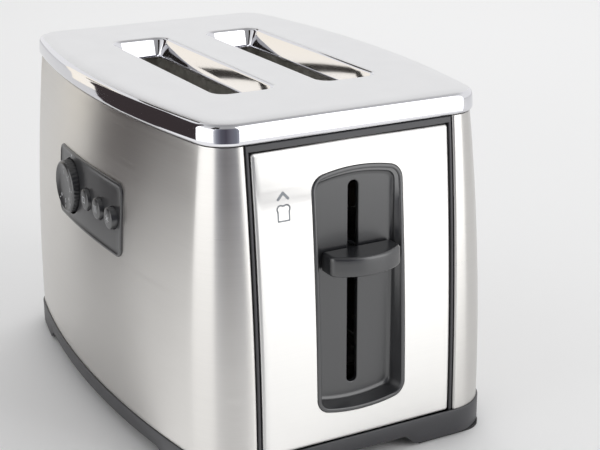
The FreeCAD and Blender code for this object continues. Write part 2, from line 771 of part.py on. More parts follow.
def make_guide_rod_and_latch():
    floor = dim("base_bottom") + "base_floor"
    keep("guide_rod", rod("guide_rod_bar", "z", "rod_radius", floor, "bracket_bottom", ("rod_place", 0)))
    keep("rod_bracket", block("rod_bracket_sheet", (dim("bulkhead") + "sheet", dim("rod_place") + 6), (-24.0, 24.0),
                              ("bracket_bottom", dim("bracket_bottom") + "bracket_wall")))
    x, y = dim("latch_x"), dim("latch_y")
    core = block("core_bar", (x - 3, x + 3), (y - 4, y + 4), (floor, "latch_top"))
    keep("latch_magnet", core)
    room = block("core_room", (x - 3, x + 3), (y - 4, y + 4), (0, FAR))
    keep("latch_coil", cut("coil", block("coil_block", (x - 7, x + 7), (y - 8, y + 8),
                                         (floor + 4, dim("latch_top") - 4)), room))
    armature_low = dim("latch_top") + 62 + "gap"
    armature_top = armature_low + "armature"
    shoe = block("armature_shoe", (x - 6, x + 6), (y - 7, y + 7), (armature_low, armature_top))
    arm = block("armature_arm", (dim("plate_back") + "plate_wall", x + 6), (y - 8, y + 6),
                (armature_top, armature_top + 1.5))
    keep("latch_armature", join("armature", [shoe, arm]))
    keep("power_switch", block("power_switch_case", (108.0, 124.0), (-34.0, -18.0), (floor, "switch_top")))
    actuator_low = dim("switch_top") + 62 + "gap"
    keep("switch_actuator", block("actuator_bar", (dim("plate_back") + "plate_wall", 118.0), (-30.0, -24.0),
                                  (actuator_low, actuator_low + 2)))


# ---------------------------------------------------------------- controls on the front long side
def make_controls():
    shifted = housing_form("control_form", 0)
    bind(shifted, "Placement.Base.y", -dim("control_proud"))
    zone = block("control_zone", (-dim("control_half_length"), "control_half_length"),
                 (-FAR, -dim("control_back")), ("control_bottom", "control_top"))
    dial_place = (-dim("dial_x"), dim("control_middle"))
    well = rod("dial_well", "y", "well_radius", -FAR, -dim("well_floor"), dial_place)
    cuts = [well, rod("dial_shaft_hole", "y", dim("shaft_radius") + "gap", -FAR, 0, dial_place)]
    for name, x in BUTTONS.items():
        cuts.append(rod(name + "_hole", "y", dim("button_radius") + "gap", -FAR, 0, (x, "control_middle")))
    keep("control_bezel", cut("control_panel", overlap("control_plate", shifted, zone), join("control_cuts", cuts)))

    keep("browning_dial", turned("browning_dial", [(0, -dim("dial_back")), (0, -dim("dial_front")),
                                                   (dim("dial_radius") - 1.5, -dim("dial_front")),
                                                   ("dial_radius", -dim("dial_front") + 1.5),
                                                   ("dial_radius", -dim("dial_back"))], dial_place))
    keep("dial_shaft", rod("dial_shaft_bar", "y", "shaft_radius", -dim("dial_back"), -dim("shaft_end"), dial_place))
    keep("browning_potentiometer", rod("potentiometer_can", "y", "pot_radius", -dim("shaft_end") + "gap",
                                       -dim("board_front"), dial_place))
    for name, x in BUTTONS.items():
        flange_face = -dim("control_back") + "gap"
        keep(name, turned(name, [(0, -dim("button_back")), (0, -dim("button_front")),
                                 (dim("button_radius") - 1, -dim("button_front")),
                                 ("button_radius", -dim("button_front") + 1),
                                 ("button_radius", flange_face), ("button_flange", flange_face),
                                 ("button_flange", flange_face + 1.2), (4.0, flange_face + 1.2),
                                 (4.0, -dim("button_back"))], (x, "control_middle")))
    keep("control_board", block("control_board_sheet", (-dim("control_half_length") + 4, dim("control_half_length") - 2),
                                (-dim("board_front"), -dim("board_front") + "board_wall"),
                                (dim("control_bottom") + 4, dim("control_top") - 4)))
    switches = [block(f"tact_switch_{index}", (x - 3, x + 3), (-dim("switch_face"), -dim("board_front")),
                      (dim("control_middle") - 3, dim("control_middle") + 3))
                for index, x in enumerate(BUTTONS.values())]
    keep("button_switches", join("tact_switches", switches))


# ---------------------------------------------------------------- crumb tray, cord gland and boards
def make_crumb_tray():
    rear, front = -dim("tray_rear"), dim("tray_front")
    half, wall = dim("tray_half_width"), dim("sheet")
    pan = block("tray_block", (rear, front), (-half, half), ("tray_bottom", "tray_top"))
    hollow = block("tray_hollow", (rear + wall, front - wall), (-half + wall, half - wall),
                   (dim("tray_bottom") + wall, "top_height"))
    keep("crumb_tray", cut("tray", pan, hollow))
    bar = block("handle_bar", (-dim("handle_rear"), rear), (-dim("handle_half_width"), "handle_half_width"),
                (dim("tray_bottom") - 0.4, "handle_top"))
    grip = block("handle_grip", (-FAR, rear - 2.4), (-22.0, 22.0), (0, dim("tray_bottom") + 2.4))
    keep("crumb_tray_handle", cut("handle", bar, grip))
    rails = []
    for side in (-1, 1):
        lip = sorted((dim("tray_half_width") * side - 3.0 * side, (dim("tray_half_width") + 2.6) * side),
                     key=lambda size: size.value)
        web = sorted(((dim("tray_half_width") + "gap") * side + 0.3 * side, (dim("tray_half_width") + 2.6) * side),
                     key=lambda size: size.value)
        floor = dim("tray_bottom") - "gap"
        rails.append(block(f"rail_lip_{side + 1}", (-120.0, 76.0), lip, (dim("base_bottom") + "base_floor", floor)))
        rails.append(block(f"rail_web_{side + 1}", (-120.0, 76.0), web, (floor, "tray_top")))
    keep("crumb_tray_rails", join("tray_rails", rails))


def make_cord_gland():
    """A two-part grommet clamped on the rear panel, turned about the cord's line."""
    body = new_body("cord_gland")
    sketch = sketch_in(body, "gland_profile", "XY_Plane")
    bore = dim("gland_bore")
    polygon(sketch, [(-dim("gland_inner"), bore), (-dim("gland_nose"), bore), (-dim("gland_nose"), 5.6),
                     (-139.8, 7.4), (-139.8, 10.0), (-137.6, 10.0), (-137.6, 6.9), (-133.0, 6.9),
                     (-133.0, 9.0), (-dim("gland_inner"), 9.0)])
    feature = body.newObject("PartDesign::Revolution", "gland_turned")
    feature.Profile = sketch
    feature.ReferenceAxis = (sketch, ["H_Axis"])
    feature.Angle = 360
    bind(body, "Placement.Base.y", "gland_y")
    bind(body, "Placement.Base.z", "gland_z")
    keep("cord_gland", body)


def make_boards():
    face = -dim("main_board")
    back = face - "board_wall"
    half = dim("main_board_half_width")
    keep("main_board", block("main_board_sheet", (back, face), (-half, half), (40.0, 120.0)))
    parts = [block("relay", (back - 15, back), (-40.0, -20.0), (80.0, 108.0)),
             block("dropper", (back - 18, back), (-8.0, 14.0), (78.0, 108.0)),
             block("controller_chip", (back - 3, back), (-10.0, 12.0), (54.0, 64.0)),
             rod("capacitor", "x", 7.0, back - 20, back, (-30.0, 60.0))]
    keep("board_components", join("components", parts))
    keep("terminal_block", block("terminal_case", (back - 14, back), (26.0, 50.0), (42.0, 58.0)))
    posts = [rod(f"standoff_{index}", "x", 3.0, face, -dim("bulkhead") - "sheet", (y, z))
             for index, (y, z) in enumerate(((-46.0, 46.0), (46.0, 46.0), (-46.0, 114.0), (46.0, 114.0)))]
    keep("board_standoffs", join("standoffs", posts))


make_base()
corner_ring("feet", 0, "pad_height", "base_bottom")
corner_ring("foot_pads", "pad_inset", 0, "pad_height")
make_screws()
make_side_shells()
make_lever_end()
make_rear_end()
make_lever_bezel()
make_top_cover()
make_chambers()
make_bulkheads()
make_bread_guides()
make_carriage()
make_lever_knob()
make_spring()
make_guide_rod_and_latch()
make_controls()
make_crumb_tray()
make_cord_gland()
make_boards()
doc.recompute()

# ---------------------------------------------------------------- check and write
for thing in doc.Objects:
    if "Invalid" in thing.State or "Error" in thing.State:
        raise RuntimeError(f"{thing.Name} failed: {thing.State}")
os.makedirs("parts", exist_ok=True)
for name, shape in nodes.items():
    if shape.Shape.isNull() or not shape.Shape.isValid() or not shape.Shape.Solids:
        raise RuntimeError(f"{name} has no valid solid")
    shape.Shape.exportStep(f"parts/{name}.step")
    box = shape.Shape.BoundBox
    print(f"{name:26s} {len(shape.Shape.Solids):3d} {shape.Shape.Volume:10.0f}  "
          f"x {box.XMin:7.1f} {box.XMax:7.1f}  y {box.YMin:7.1f} {box.YMax:7.1f}  z {box.ZMin:6.1f} {box.ZMax:6.1f}")
print(len(nodes), "nodes")
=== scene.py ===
"""Pop up toaster: the visual model round its CAD frame. Metres, +X to the lever end, -Y the control side."""

import json
import math

import bmesh
import bpy
from mathutils import Matrix, Vector


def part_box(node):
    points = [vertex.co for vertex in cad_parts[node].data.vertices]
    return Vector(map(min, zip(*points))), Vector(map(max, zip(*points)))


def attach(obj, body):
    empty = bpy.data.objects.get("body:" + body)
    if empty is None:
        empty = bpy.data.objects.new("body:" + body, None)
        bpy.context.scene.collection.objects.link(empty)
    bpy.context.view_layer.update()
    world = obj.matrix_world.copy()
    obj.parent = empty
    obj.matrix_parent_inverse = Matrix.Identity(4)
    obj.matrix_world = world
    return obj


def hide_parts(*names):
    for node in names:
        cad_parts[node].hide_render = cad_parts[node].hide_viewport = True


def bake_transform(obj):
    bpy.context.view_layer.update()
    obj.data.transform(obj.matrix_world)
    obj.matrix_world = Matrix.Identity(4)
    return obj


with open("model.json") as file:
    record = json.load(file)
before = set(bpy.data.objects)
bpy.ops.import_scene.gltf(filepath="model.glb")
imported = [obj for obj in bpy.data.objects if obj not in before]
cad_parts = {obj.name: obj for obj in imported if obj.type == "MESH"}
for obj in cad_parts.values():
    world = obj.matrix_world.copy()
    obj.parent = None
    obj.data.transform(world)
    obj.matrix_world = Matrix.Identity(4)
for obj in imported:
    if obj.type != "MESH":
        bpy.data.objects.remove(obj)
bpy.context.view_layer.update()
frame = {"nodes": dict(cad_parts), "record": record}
MM = 0.001
TURN = 2 * math.pi

# ---------------------------------------------------------------- sizes, millimetres
RIM_TOP, RIM_BOTTOM = 188.4, 177.3
PANEL_TOP, BASE_TOP, BASE_BOTTOM, PAD_TOP = 172.5, 15.9, 7.2, 1.5
HALF_LENGTH, HALF_WIDTH, SIDE_BOW, CORNER = 128.4, 87.0, 620.0, 16.0
SPREAD_MIDDLE, SPREAD_BASE, RIM_PROUD, BASE_PROUD = 6.9, 9.1, 1.5, 0.9
SKIN = 0.8
PANEL_HALF, SHELL_EDGE = 55.5, 58.3
SLOT_HALF_LENGTH, SLOT_HALF_WIDTH, SLOT_CENTRE, SLOT_CORNER = 77.1, 19.05, 30.1, 9.8
BEZEL_HALF, BEZEL_TOP, BEZEL_BOTTOM, BEZEL_BOW, BEZEL_CORNER = 25.7, 159.2, 30.7, 90.0, 8.0
BEZEL_FLOOR = 129.4
BEZEL_SHIFT, FLOOR_LIFT, KNOB_SHIFT = 1.45, 0.9, 1.4
LEVER_SLOT_HALF, LEVER_SLOT_BOTTOM, LEVER_SLOT_TOP = 2.95, 42.7, 151.5
KNOB_BACK, KNOB_FRONT, KNOB_SIDE, KNOB_HALF, KNOB_BOTTOM, KNOB_TOP = 131.2, 147.9, 143.6, 19.9, 107.4, 117.7


# ---------------------------------------------------------------- outlines
def sweep(cu, cv, radius, start, end, steps):
    """Points of an arc from angle start up to, but not including, angle end."""
    return [(cu + radius * math.cos(start + (end - start) * k / steps),
             cv + radius * math.sin(start + (end - start) * k / steps)) for k in range(steps)]


def bowed_loop(half_span, low, high, bow, corner, grow=0.0, counts=(10, 8, 24)):
    """Two straight sides joined by two arcs that bulge to low and high; counter-clockwise (u, v) points."""
    side_steps, corner_steps, bow_steps = counts
    half_span, low, high, bow, corner = half_span + grow, low - grow, high + grow, bow + grow, corner + grow
    inner = half_span - corner
    rise = math.sqrt((bow - corner) ** 2 - inner ** 2)
    top_centre, low_centre = high - bow, low + bow
    upper, lower = top_centre + rise, low_centre - rise
    lean = math.atan2(rise, inner)

    def straight(u, start, end):
        return [(u, start + (end - start) * k / side_steps) for k in range(side_steps)]

    half_turn = math.pi
    return (straight(half_span, lower, upper)
            + sweep(inner, upper, corner, 0, lean, corner_steps)
            + sweep(0, top_centre, bow, lean, half_turn - lean, bow_steps)
            + sweep(-inner, upper, corner, half_turn - lean, half_turn, corner_steps)
            + straight(-half_span, upper, lower)
            + sweep(-inner, lower, corner, half_turn, half_turn + lean, corner_steps)
            + sweep(0, low_centre, bow, half_turn + lean, TURN - lean, bow_steps)
            + sweep(inner, lower, corner, TURN - lean, TURN, corner_steps))


def box_loop(u_range, v_range, corner, grow=0.0, steps=6, side_steps=1):
    """A rectangle with round corners; counter-clockwise (u, v) points."""
    left, right = u_range[0] - grow, u_range[1] + grow
    low, high = v_range[0] - grow, v_range[1] + grow
    radius = corner + grow
    points = []
    centres = ((right - radius, high - radius), (left + radius, high - radius),
               (left + radius, low + radius), (right - radius, low + radius))
    for quarter, (cu, cv) in enumerate(centres):
        arc = []
        for k in range(steps + 1):
            angle = (quarter + k / steps) * math.pi / 2
            arc.append((cu + radius * math.cos(angle), cv + radius * math.sin(angle)))
        if points:
            points += between(points[-1], arc[0], side_steps)
        points += arc
    return points + between(points[-1], points[0], side_steps)


def between(start, end, steps):
    """Points strictly between two points, for steps equal spans."""
    return [(start[0] + (end[0] - start[0]) * k / steps, start[1] + (end[1] - start[1]) * k / steps)
            for k in range(1, steps)]


def quarter_round(radius, steps=6):
    """(outwards, down) offsets of a quarter round that starts level and ends upright."""
    return [(radius * math.sin(k / steps * math.pi / 2), radius * (1 - math.cos(k / steps * math.pi / 2)))
            for k in range(steps + 1)]


def spread(z):
    """How far the housing has flared outwards at height z: the curve through its three sections."""
    share = (RIM_BOTTOM - z) / (RIM_BOTTOM - BASE_TOP)
    return share * (4 * SPREAD_MIDDLE - SPREAD_BASE) + share ** 2 * (2 * SPREAD_BASE - 4 * SPREAD_MIDDLE)


def end_face(z, depth=0.0):
    """X of the lever end's surface at height z, depth inside it."""
    return HALF_LENGTH + spread(z) - depth


def plan_loop(offset, counts=(14, 14, 60)):
    """The housing's outline from above, offset outwards from its size under the rim."""
    return bowed_loop(HALF_LENGTH, -HALF_WIDTH, HALF_WIDTH, SIDE_BOW, CORNER, offset, counts)


# ---------------------------------------------------------------- mesh tools
def make_object(name, mesh, body, material, smooth_angle=35.0):
    """A smooth-shaded piece with one material that rides on a body, or on none yet."""
    thing = bpy.data.objects.new(name, mesh)
    bpy.context.scene.collection.objects.link(thing)
    mesh.materials.append(material)
    mesh.polygons.foreach_set("use_smooth", [True] * len(mesh.polygons))
    mesh.set_sharp_from_angle(angle=math.radians(smooth_angle))
    if body:
        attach(thing, body)
    return thing


def stand_for(thing, finish, *nodes):
    """The piece shows instead of these CAD nodes, which it hides; finish is not used."""
    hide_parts(*nodes)


def box_mm(node):
    """The lowest and the highest corner of a CAD node at rest, in millimetres."""
    return [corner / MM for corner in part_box(node)]


class Shape:
    """Collects faces in millimetres and turns them into one mesh."""

    def __init__(self):
        self.work = bmesh.new()

    def point(self, place):
        return self.work.verts.new(Vector(place) * MM)

    def rings(self, loops, closed=True, cap_first=False, cap_last=False):
        """Quads between loops with the same number of points; returns the loops' vertices."""
        rows = [[self.point(place) for place in loop] for loop in loops]
        count = len(rows[0])
        for low, high in zip(rows, rows[1:]):
            for k in range(count if closed else count - 1):
                after = (k + 1) % count
                self.work.faces.new((low[k], low[after], high[after], high[k]))
        if cap_first:
            self.work.faces.new(reversed(rows[0]))
        if cap_last:
            self.work.faces.new(rows[-1])
        return rows

    def bridge(self, first, second):
        """A wall between two closed rows of vertices with the same number of points."""
        for k in range(len(first)):
            after = (k + 1) % len(first)
            self.work.faces.new((first[k], first[after], second[after], second[k]))

    def fill(self, *rows):
        """A flat face with holes, bounded by rows of vertices."""
        edges = []
        for row in rows:
            for first, second in zip(row, row[1:] + row[:1]):
                edge = self.work.edges.get((first, second)) or self.work.edges.new((first, second))
                edges.append(edge)
        bmesh.ops.triangle_fill(self.work, use_beauty=True, use_dissolve=False, edges=edges)

    def finish(self, name, body, material, smooth_angle=35.0):
        bmesh.ops.remove_doubles(self.work, verts=self.work.verts, dist=1e-7)
        bmesh.ops.recalc_face_normals(self.work, faces=self.work.faces)
        mesh = bpy.data.meshes.new(name)
        self.work.to_mesh(mesh)
        self.work.free()
        return make_object(name, mesh, body, material, smooth_angle)


def lathe_ring(centre, axis, radius, along, steps, shape=None):
    """Points round an axis (0 X, 1 Y, 2 Z) through centre; shape may change the radius by angle."""
    ring = []
    for k in range(steps):
        angle = TURN * k / steps
        reach = radius * (shape(angle) if shape else 1.0)
        place = [reach * math.cos(angle), reach * math.sin(angle)]
        place.insert(axis, 0.0)
        point = [c + p for c, p in zip(centre, place)]
        point[axis] = along
        ring.append(point)
    return ring


def wire_ring(point, side, across, radius, sides):
    """The ring of a wire's surface round one point of its run."""
    return [point + (side * math.cos(TURN * n / sides) + across * math.sin(TURN * n / sides)) * radius
            for n in range(sides)]


def tube(name, runs, radius, body, material, sides=8):
    """Round wire along each run of points, with closed ends."""
    shape = Shape()
    for run in runs:
        points = [Vector(place) for place in run]
        side = Vector((0.3, 0.5, 0.8))
        loops = []
        for k, point in enumerate(points):
            along = (points[min(k + 1, len(points) - 1)] - points[max(k - 1, 0)]).normalized()
            side = (side - along * side.dot(along)).normalized()
            across = along.cross(side)
            loops.append(wire_ring(point, side, across, radius, sides))
        shape.rings(loops, cap_first=True, cap_last=True)
    return shape.finish(name, body, material, 60)


def bent(corners, radius, steps=5):
    """A run of points through corners, each rounded to radius."""
    points = [Vector(corners[0])]
    for before, corner, after in zip(corners, corners[1:], corners[2:]):
        before, corner, after = Vector(before), Vector(corner), Vector(after)
        back, on = (before - corner).normalized(), (after - corner).normalized()
        for k in range(steps + 1):
            share = k / steps
            points.append(corner + back * radius * (1 - share) ** 2 + on * radius * share ** 2)
    points.append(Vector(corners[-1]))
    return points


def carve(thing, cutters):
    """Takes the cutters' shapes out of a piece and deletes them."""
    for cutter in cutters:
        cut = thing.modifiers.new("cut", "BOOLEAN")
        cut.operation = "DIFFERENCE"
        cut.solver = "EXACT"
        cut.object = cutter
    bpy.context.view_layer.update()
    carved = bpy.data.meshes.new_from_object(thing.evaluated_get(bpy.context.evaluated_depsgraph_get()))
    thing.modifiers.clear()
    thing.data = carved
    for cutter in cutters:
        bpy.data.objects.remove(cutter)
    carved.polygons.foreach_set("use_smooth", [True] * len(carved.polygons))
    carved.set_sharp_from_angle(angle=math.radians(35))
    return thing


def sheet_section(path, thickness):
    """A closed section from an open path of (u, v) points, its second side offset to the left of its run."""
    inner = []
    for k, (u, v) in enumerate(path):
        before, after = path[max(k - 1, 0)], path[min(k + 1, len(path) - 1)]
        along = Vector((after[0] - before[0], after[1] - before[1])).normalized()
        inner.append((u - along.y * thickness, v + along.x * thickness))
    return path + inner[::-1]


# ---------------------------------------------------------------- colours and materials
def linear(code):
    """An sRGB hex colour as the linear RGBA that shaders take."""
    values = [int(code[k:k + 2], 16) / 255 for k in (1, 3, 5)]
    return tuple(v / 12.92 if v <= 0.04045 else ((v + 0.055) / 1.055) ** 2.4 for v in values) + (1.0,)


def add(tree, kind, inputs=None, **settings):
    """A node with its settings; inputs gives sockets a value or another node's output."""
    node = tree.nodes.new(kind)
    for setting, value in settings.items():
        setattr(node, setting, value)
    for socket, value in (inputs or {}).items():
        if isinstance(value, bpy.types.NodeSocket):
            tree.links.new(value, node.inputs[socket])
        else:
            node.inputs[socket].default_value = value
    return node


def surface(name, **shader):
    """A material with one Principled shader; returns it, its tree and its object coordinates."""
    material = bpy.data.materials.new(name)
    material.use_nodes = True
    tree = material.node_tree
    tree.nodes.clear()
    principled = add(tree, "ShaderNodeBsdfPrincipled", {k.replace("_", " "): v for k, v in shader.items()})
    add(tree, "ShaderNodeOutputMaterial", {"Surface": principled.outputs["BSDF"]})
    place = add(tree, "ShaderNodeTexCoord").outputs["Object"]
    return material, tree, principled, place


def noise(tree, place, per_metre, detail=2.0, stretch=(1, 1, 1)):
    """Noise with per_metre features a metre; a stretch below 1 draws them out along that axis."""
    scale = tuple(per_metre * share for share in stretch)
    mapped = add(tree, "ShaderNodeMapping", {"Vector": place, "Scale": scale})
    return add(tree, "ShaderNodeTexNoise", {"Vector": mapped.outputs["Vector"], "Scale": 1.0,
                                            "Detail": detail, "Roughness": 0.55}).outputs["Fac"]


def ramp(tree, value, low, high):
    """The value 0..1 spread over low..high."""
    return add(tree, "ShaderNodeMapRange", {"Value": value, "From Min": 0.3, "From Max": 0.7,
                                            "To Min": low, "To Max": high}).outputs["Result"]


def two_tones(tree, principled, share, code):
    """Base colour between two sRGB hex codes."""
    tint = add(tree, "ShaderNodeMix", {"Factor": share, 6: linear(code[0]), 7: linear(code[1])},
               data_type="RGBA")
    tree.links.new(tint.outputs[2], principled.inputs["Base Color"])


# Features a metre, and depths in metres. Real brushing and a mould's pebble are about 0.1 mm apart or finer,
# too fine to show on a whole toaster, so both are drawn coarser than they are.
SCRATCHES, SCRATCH_DEPTH, STEEL_CLOUDS, HAZE = 2500, 0.000006, 9, 60
PEBBLES, PEBBLE_DEPTH, PLASTIC_CLOUDS, SPANGLES = 1000 / 0.35, 0.00003, 25, 220


def brushed_steel(name, code, roughness):
    """Stainless sheet brushed along its length: level scratches blur reflections up and down."""
    material, tree, principled, place = surface(name, Metallic=1.0, Roughness=roughness)
    grain = noise(tree, place, SCRATCHES, 3.0, (0.003, 0.003, 1.0))
    cloud = noise(tree, place, STEEL_CLOUDS)
    two_tones(tree, principled, grain, code)
    fine = ramp(tree, grain, -0.05, 0.05)
    broad = ramp(tree, cloud, roughness - 0.02, roughness + 0.02)
    rough = add(tree, "ShaderNodeMath", {0: fine, 1: broad})
    tree.links.new(rough.outputs[0], principled.inputs["Roughness"])
    bump = add(tree, "ShaderNodeBump", {"Height": grain, "Strength": 0.12, "Distance": SCRATCH_DEPTH})
    tree.links.new(bump.outputs["Normal"], principled.inputs["Normal"])
    tangent = add(tree, "ShaderNodeTangent", direction_type="RADIAL", axis="Z")
    tree.links.new(tangent.outputs["Tangent"], principled.inputs["Tangent"])
    principled.inputs["Anisotropic"].default_value = 0.85
    principled.inputs["Anisotropic Rotation"].default_value = 0.25
    return material


def polished_steel(name, code, roughness):
    """Buffed stainless sheet: near mirror, with faint polishing haze."""
    material, tree, principled, place = surface(name, Metallic=1.0, Roughness=roughness,
                                                Base_Color=linear(code))
    haze = noise(tree, place, HAZE, 4.0)
    tree.links.new(ramp(tree, haze, roughness * 0.92, roughness * 1.08), principled.inputs["Roughness"])
    return material


def moulded_plastic(name, code, roughness, ior=1.5):
    """ABS from a spark-eroded mould: an even, very fine pebble that softens highlights."""
    material, tree, principled, place = surface(name, Roughness=roughness, IOR=ior)
    pebble = noise(tree, place, PEBBLES)
    cloud = noise(tree, place, PLASTIC_CLOUDS)
    two_tones(tree, principled, cloud, code)
    tree.links.new(ramp(tree, cloud, roughness - 0.03, roughness + 0.03), principled.inputs["Roughness"])
    bump = add(tree, "ShaderNodeBump", {"Height": pebble, "Strength": 0.25, "Distance": PEBBLE_DEPTH})
    tree.links.new(bump.outputs["Normal"], principled.inputs["Normal"])
    return material


def plated_sheet(name, code, roughness, metallic=1.0):
    """Zinc-plated or oxidised metal: crystalline patches of slightly different sheen."""
    material, tree, principled, place = surface(name, Metallic=metallic, Roughness=roughness)
    spangle = add(tree, "ShaderNodeTexVoronoi", {"Vector": place, "Scale": SPANGLES}).outputs["Color"]
    grey = add(tree, "ShaderNodeRGBToBW", {"Color": spangle}).outputs["Val"]
    two_tones(tree, principled, grey, code)
    tree.links.new(ramp(tree, grey, roughness - 0.05, roughness + 0.08), principled.inputs["Roughness"])
    return material


def mottled(name, code, roughness, per_metre, **shader):
    """A plain solid with two close tones, as mica, rubber, laminate or lacquered wire have."""
    material, tree, principled, place = surface(name, Roughness=roughness, **shader)
    tone = noise(tree, place, per_metre, 4.0)
    two_tones(tree, principled, tone, code)
    bump = add(tree, "ShaderNodeBump", {"Height": tone, "Strength": 0.2, "Distance": 0.0001})
    tree.links.new(bump.outputs["Normal"], principled.inputs["Normal"])
    return material


# Brushed along the body: broad soft bands that stretch upright and stay crisp sideways.
SHELL = brushed_steel("brushed_stainless_shell", ("#c8c6c3", "#d2d0cd"), 0.34)
# The same brushing on a flat end, its colour painted a little paler than the shell's as painted light on the
# lit end: one even, almost white field.
PAINTED_PALER_PANEL_STEEL = brushed_steel("brushed_stainless_panel_painted_paler", ("#d6d5d3", "#dedddb"), 0.40)
# Buffed rim and slot mouths: sharp dark and light lines that follow each bend.
COVER = polished_steel("polished_stainless_rim", "#dcdce0", 0.05)
# Satin flat between the slots: reflections dissolve into one pale tone.
TOP = polished_steel("satin_stainless_top", "#e0e0e1", 0.30)
# Aluminised sheet in the slots: warm, dull, with patches of light that fade with depth.
CHAMBER = plated_sheet("aluminised_chamber_sheet", ("#a9a69f", "#d2cfc8"), 0.40, 0.65)
# Dark ABS from textured moulds: base and border dull, lever parts near black with a soft sheen.
BASE = moulded_plastic("base_black_abs", ("#3a3a3d", "#414144"), 0.45)
GREY = moulded_plastic("lever_black_abs", ("#212225", "#26272a"), 0.30, 1.85)
BORDER = moulded_plastic("border_black_abs", ("#38383b", "#3f3f42"), 0.38)
# Rubber: matt, no highlight. Pad print: flat ink, a shade off the panel.
RUBBER = mottled("foot_rubber", ("#1d1d1e", "#262627"), 0.8, 900)
PRINT = mottled("grey_pad_print", ("#8c9196", "#969ba0"), 0.6, 2000)
PALE_PRINT = mottled("pale_pad_print", ("#c3c5c7", "#cfd1d3"), 0.6, 2000)
# Plated and heat-coloured wire and sheet: small patches of uneven sheen.
ZINC = plated_sheet("zinc_plated_steel", ("#8d9093", "#b4b6b7"), 0.34)
SPRING = plated_sheet("blued_spring_wire", ("#3c3c40", "#5a5a5e"), 0.3)
RIBBON = plated_sheet("oxidised_heater_ribbon", ("#4a4038", "#6b5d50"), 0.45)
# Inside parts: brown flaky mica, glossy red wire, cream nylon, green laminate, black epoxy.
MICA = mottled("mica_card", ("#3b3329", "#51463a"), 0.5, 350)
COPPER = mottled("enamelled_copper", ("#6d3115", "#8d4a24"), 0.3, 1500)
CREAM = moulded_plastic("cream_nylon", ("#cfc7ac", "#d9d2b9"), 0.45)
LAMINATE = mottled("green_circuit_laminate", ("#12402a", "#185436"), 0.35, 600)
DARK_PARTS = moulded_plastic("component_black_epoxy", ("#161617", "#202021"), 0.4)

SLOT_FINISH = {"black_plastic": BASE, "grey_plastic": GREY, "rubber": RUBBER, "shell_steel": SHELL,
               "polished_steel": CHAMBER, "zinc_steel": ZINC, "spring_steel": SPRING, "mica": MICA,
               "heater_wire": RIBBON, "copper": COPPER, "cream_plastic": CREAM, "circuit_board": LAMINATE,
               "component_black": DARK_PARTS}


# ---------------------------------------------------------------- steel wraps of the long sides
EDGE_ROLL = 1.4
RETURN = 1.8


def wrap_path(side, z):
    """The wrap's section at height z: round two corners, with a rolled edge at both ends."""
    offset = spread(z)
    outline = plan_loop(offset)
    run = [point for point in outline if point[1] * side > SHELL_EDGE - 0.01]
    run.sort(key=lambda point: math.atan2(point[1] * side, point[0]))
    reach = HALF_LENGTH + offset
    start = SHELL_EDGE + EDGE_ROLL
    run = [point for point in run if point[1] * side > start + 0.3]
    half = [(u, v * side) for u, v in run]
    roll = [(reach - EDGE_ROLL + EDGE_ROLL * math.cos(k * math.pi / 12),
             start - EDGE_ROLL * math.sin(k * math.pi / 12)) for k in range(6, -1, -1)]
    lip = [(reach - EDGE_ROLL - RETURN, SHELL_EDGE)] + roll
    path = lip + half + [(-u, v) for u, v in reversed(lip)]
    path = sheet_section(path, SKIN * 0.8)
    return [(u, v * side, z) for u, v in path]


def make_side_wraps():
    """Two brushed wraps, each with a rolled edge beside both end panels."""
    heights = [BASE_TOP + (RIM_BOTTOM - 0.9 - BASE_TOP) * k / 40 for k in range(41)]
    for name, side in (("front", -1), ("back", 1)):
        shape = Shape()
        shape.rings([wrap_path(side, z) for z in heights], cap_first=True, cap_last=True)
        wrap = shape.finish(f"side_wrap_{name}", "housing", SHELL, 40)
        stand_for(wrap, "shell_steel", f"side_shell_{name}")


# ---------------------------------------------------------------- polished cover with two slots
CROWN_START, CROWN_END, CROWN_TILT, RIM_ROLL, HEM = 9.0, 3.1, 15.0, 3.8, 1.9
MOUTH_ROLL, MOUTH_SLOPE, MOUTH_DEPTH = 3.0, 62.0, 9.4
SATIN_LIMIT, SHEET = 0.88, 0.9


def rim_profile():
    """(offset outwards, z) from the flat's edge over the crown and down to the hem, and the shoulder's z."""
    edge = RIM_PROUD
    run = []
    for k in range(7):
        share = k / 6
        drop = (CROWN_START - CROWN_END) * math.tan(math.radians(CROWN_TILT)) / 2 * share ** 2
        run.append((edge - CROWN_START + (CROWN_START - CROWN_END) * share, RIM_TOP - drop))
    start_u, start_z = run[-1]
    for k in range(1, 13):
        tilt = math.radians(CROWN_TILT + (87 - CROWN_TILT) * k / 12)
        first = math.radians(CROWN_TILT)
        run.append((start_u + RIM_ROLL * (math.sin(tilt) - math.sin(first)),
                    start_z - RIM_ROLL * (math.cos(first) - math.cos(tilt))))
    shoulder_u, shoulder_z = run[-1]
    hem_z = RIM_BOTTOM - 0.5 + HEM
    for k in range(1, 5):
        share = k / 4
        run.append((shoulder_u + (edge - shoulder_u) * math.sin(share * math.pi / 2),
                    shoulder_z + (hem_z - shoulder_z) * share))
    for k in range(1, 7):
        angle = k / 6 * math.pi / 2
        run.append((edge - HEM * (1 - math.cos(angle)), hem_z - HEM * math.sin(angle)))
    return run, shoulder_z


def keep_satin(thing):
    """The nearly level part of a polished piece keeps the flat's satin finish, so the edge turns softly."""
    thing.data.materials.append(TOP)
    for face in thing.data.polygons:
        if face.normal.z > SATIN_LIMIT and face.center.z > (RIM_TOP - CROWN_START) * MM:
            face.material_index = 1


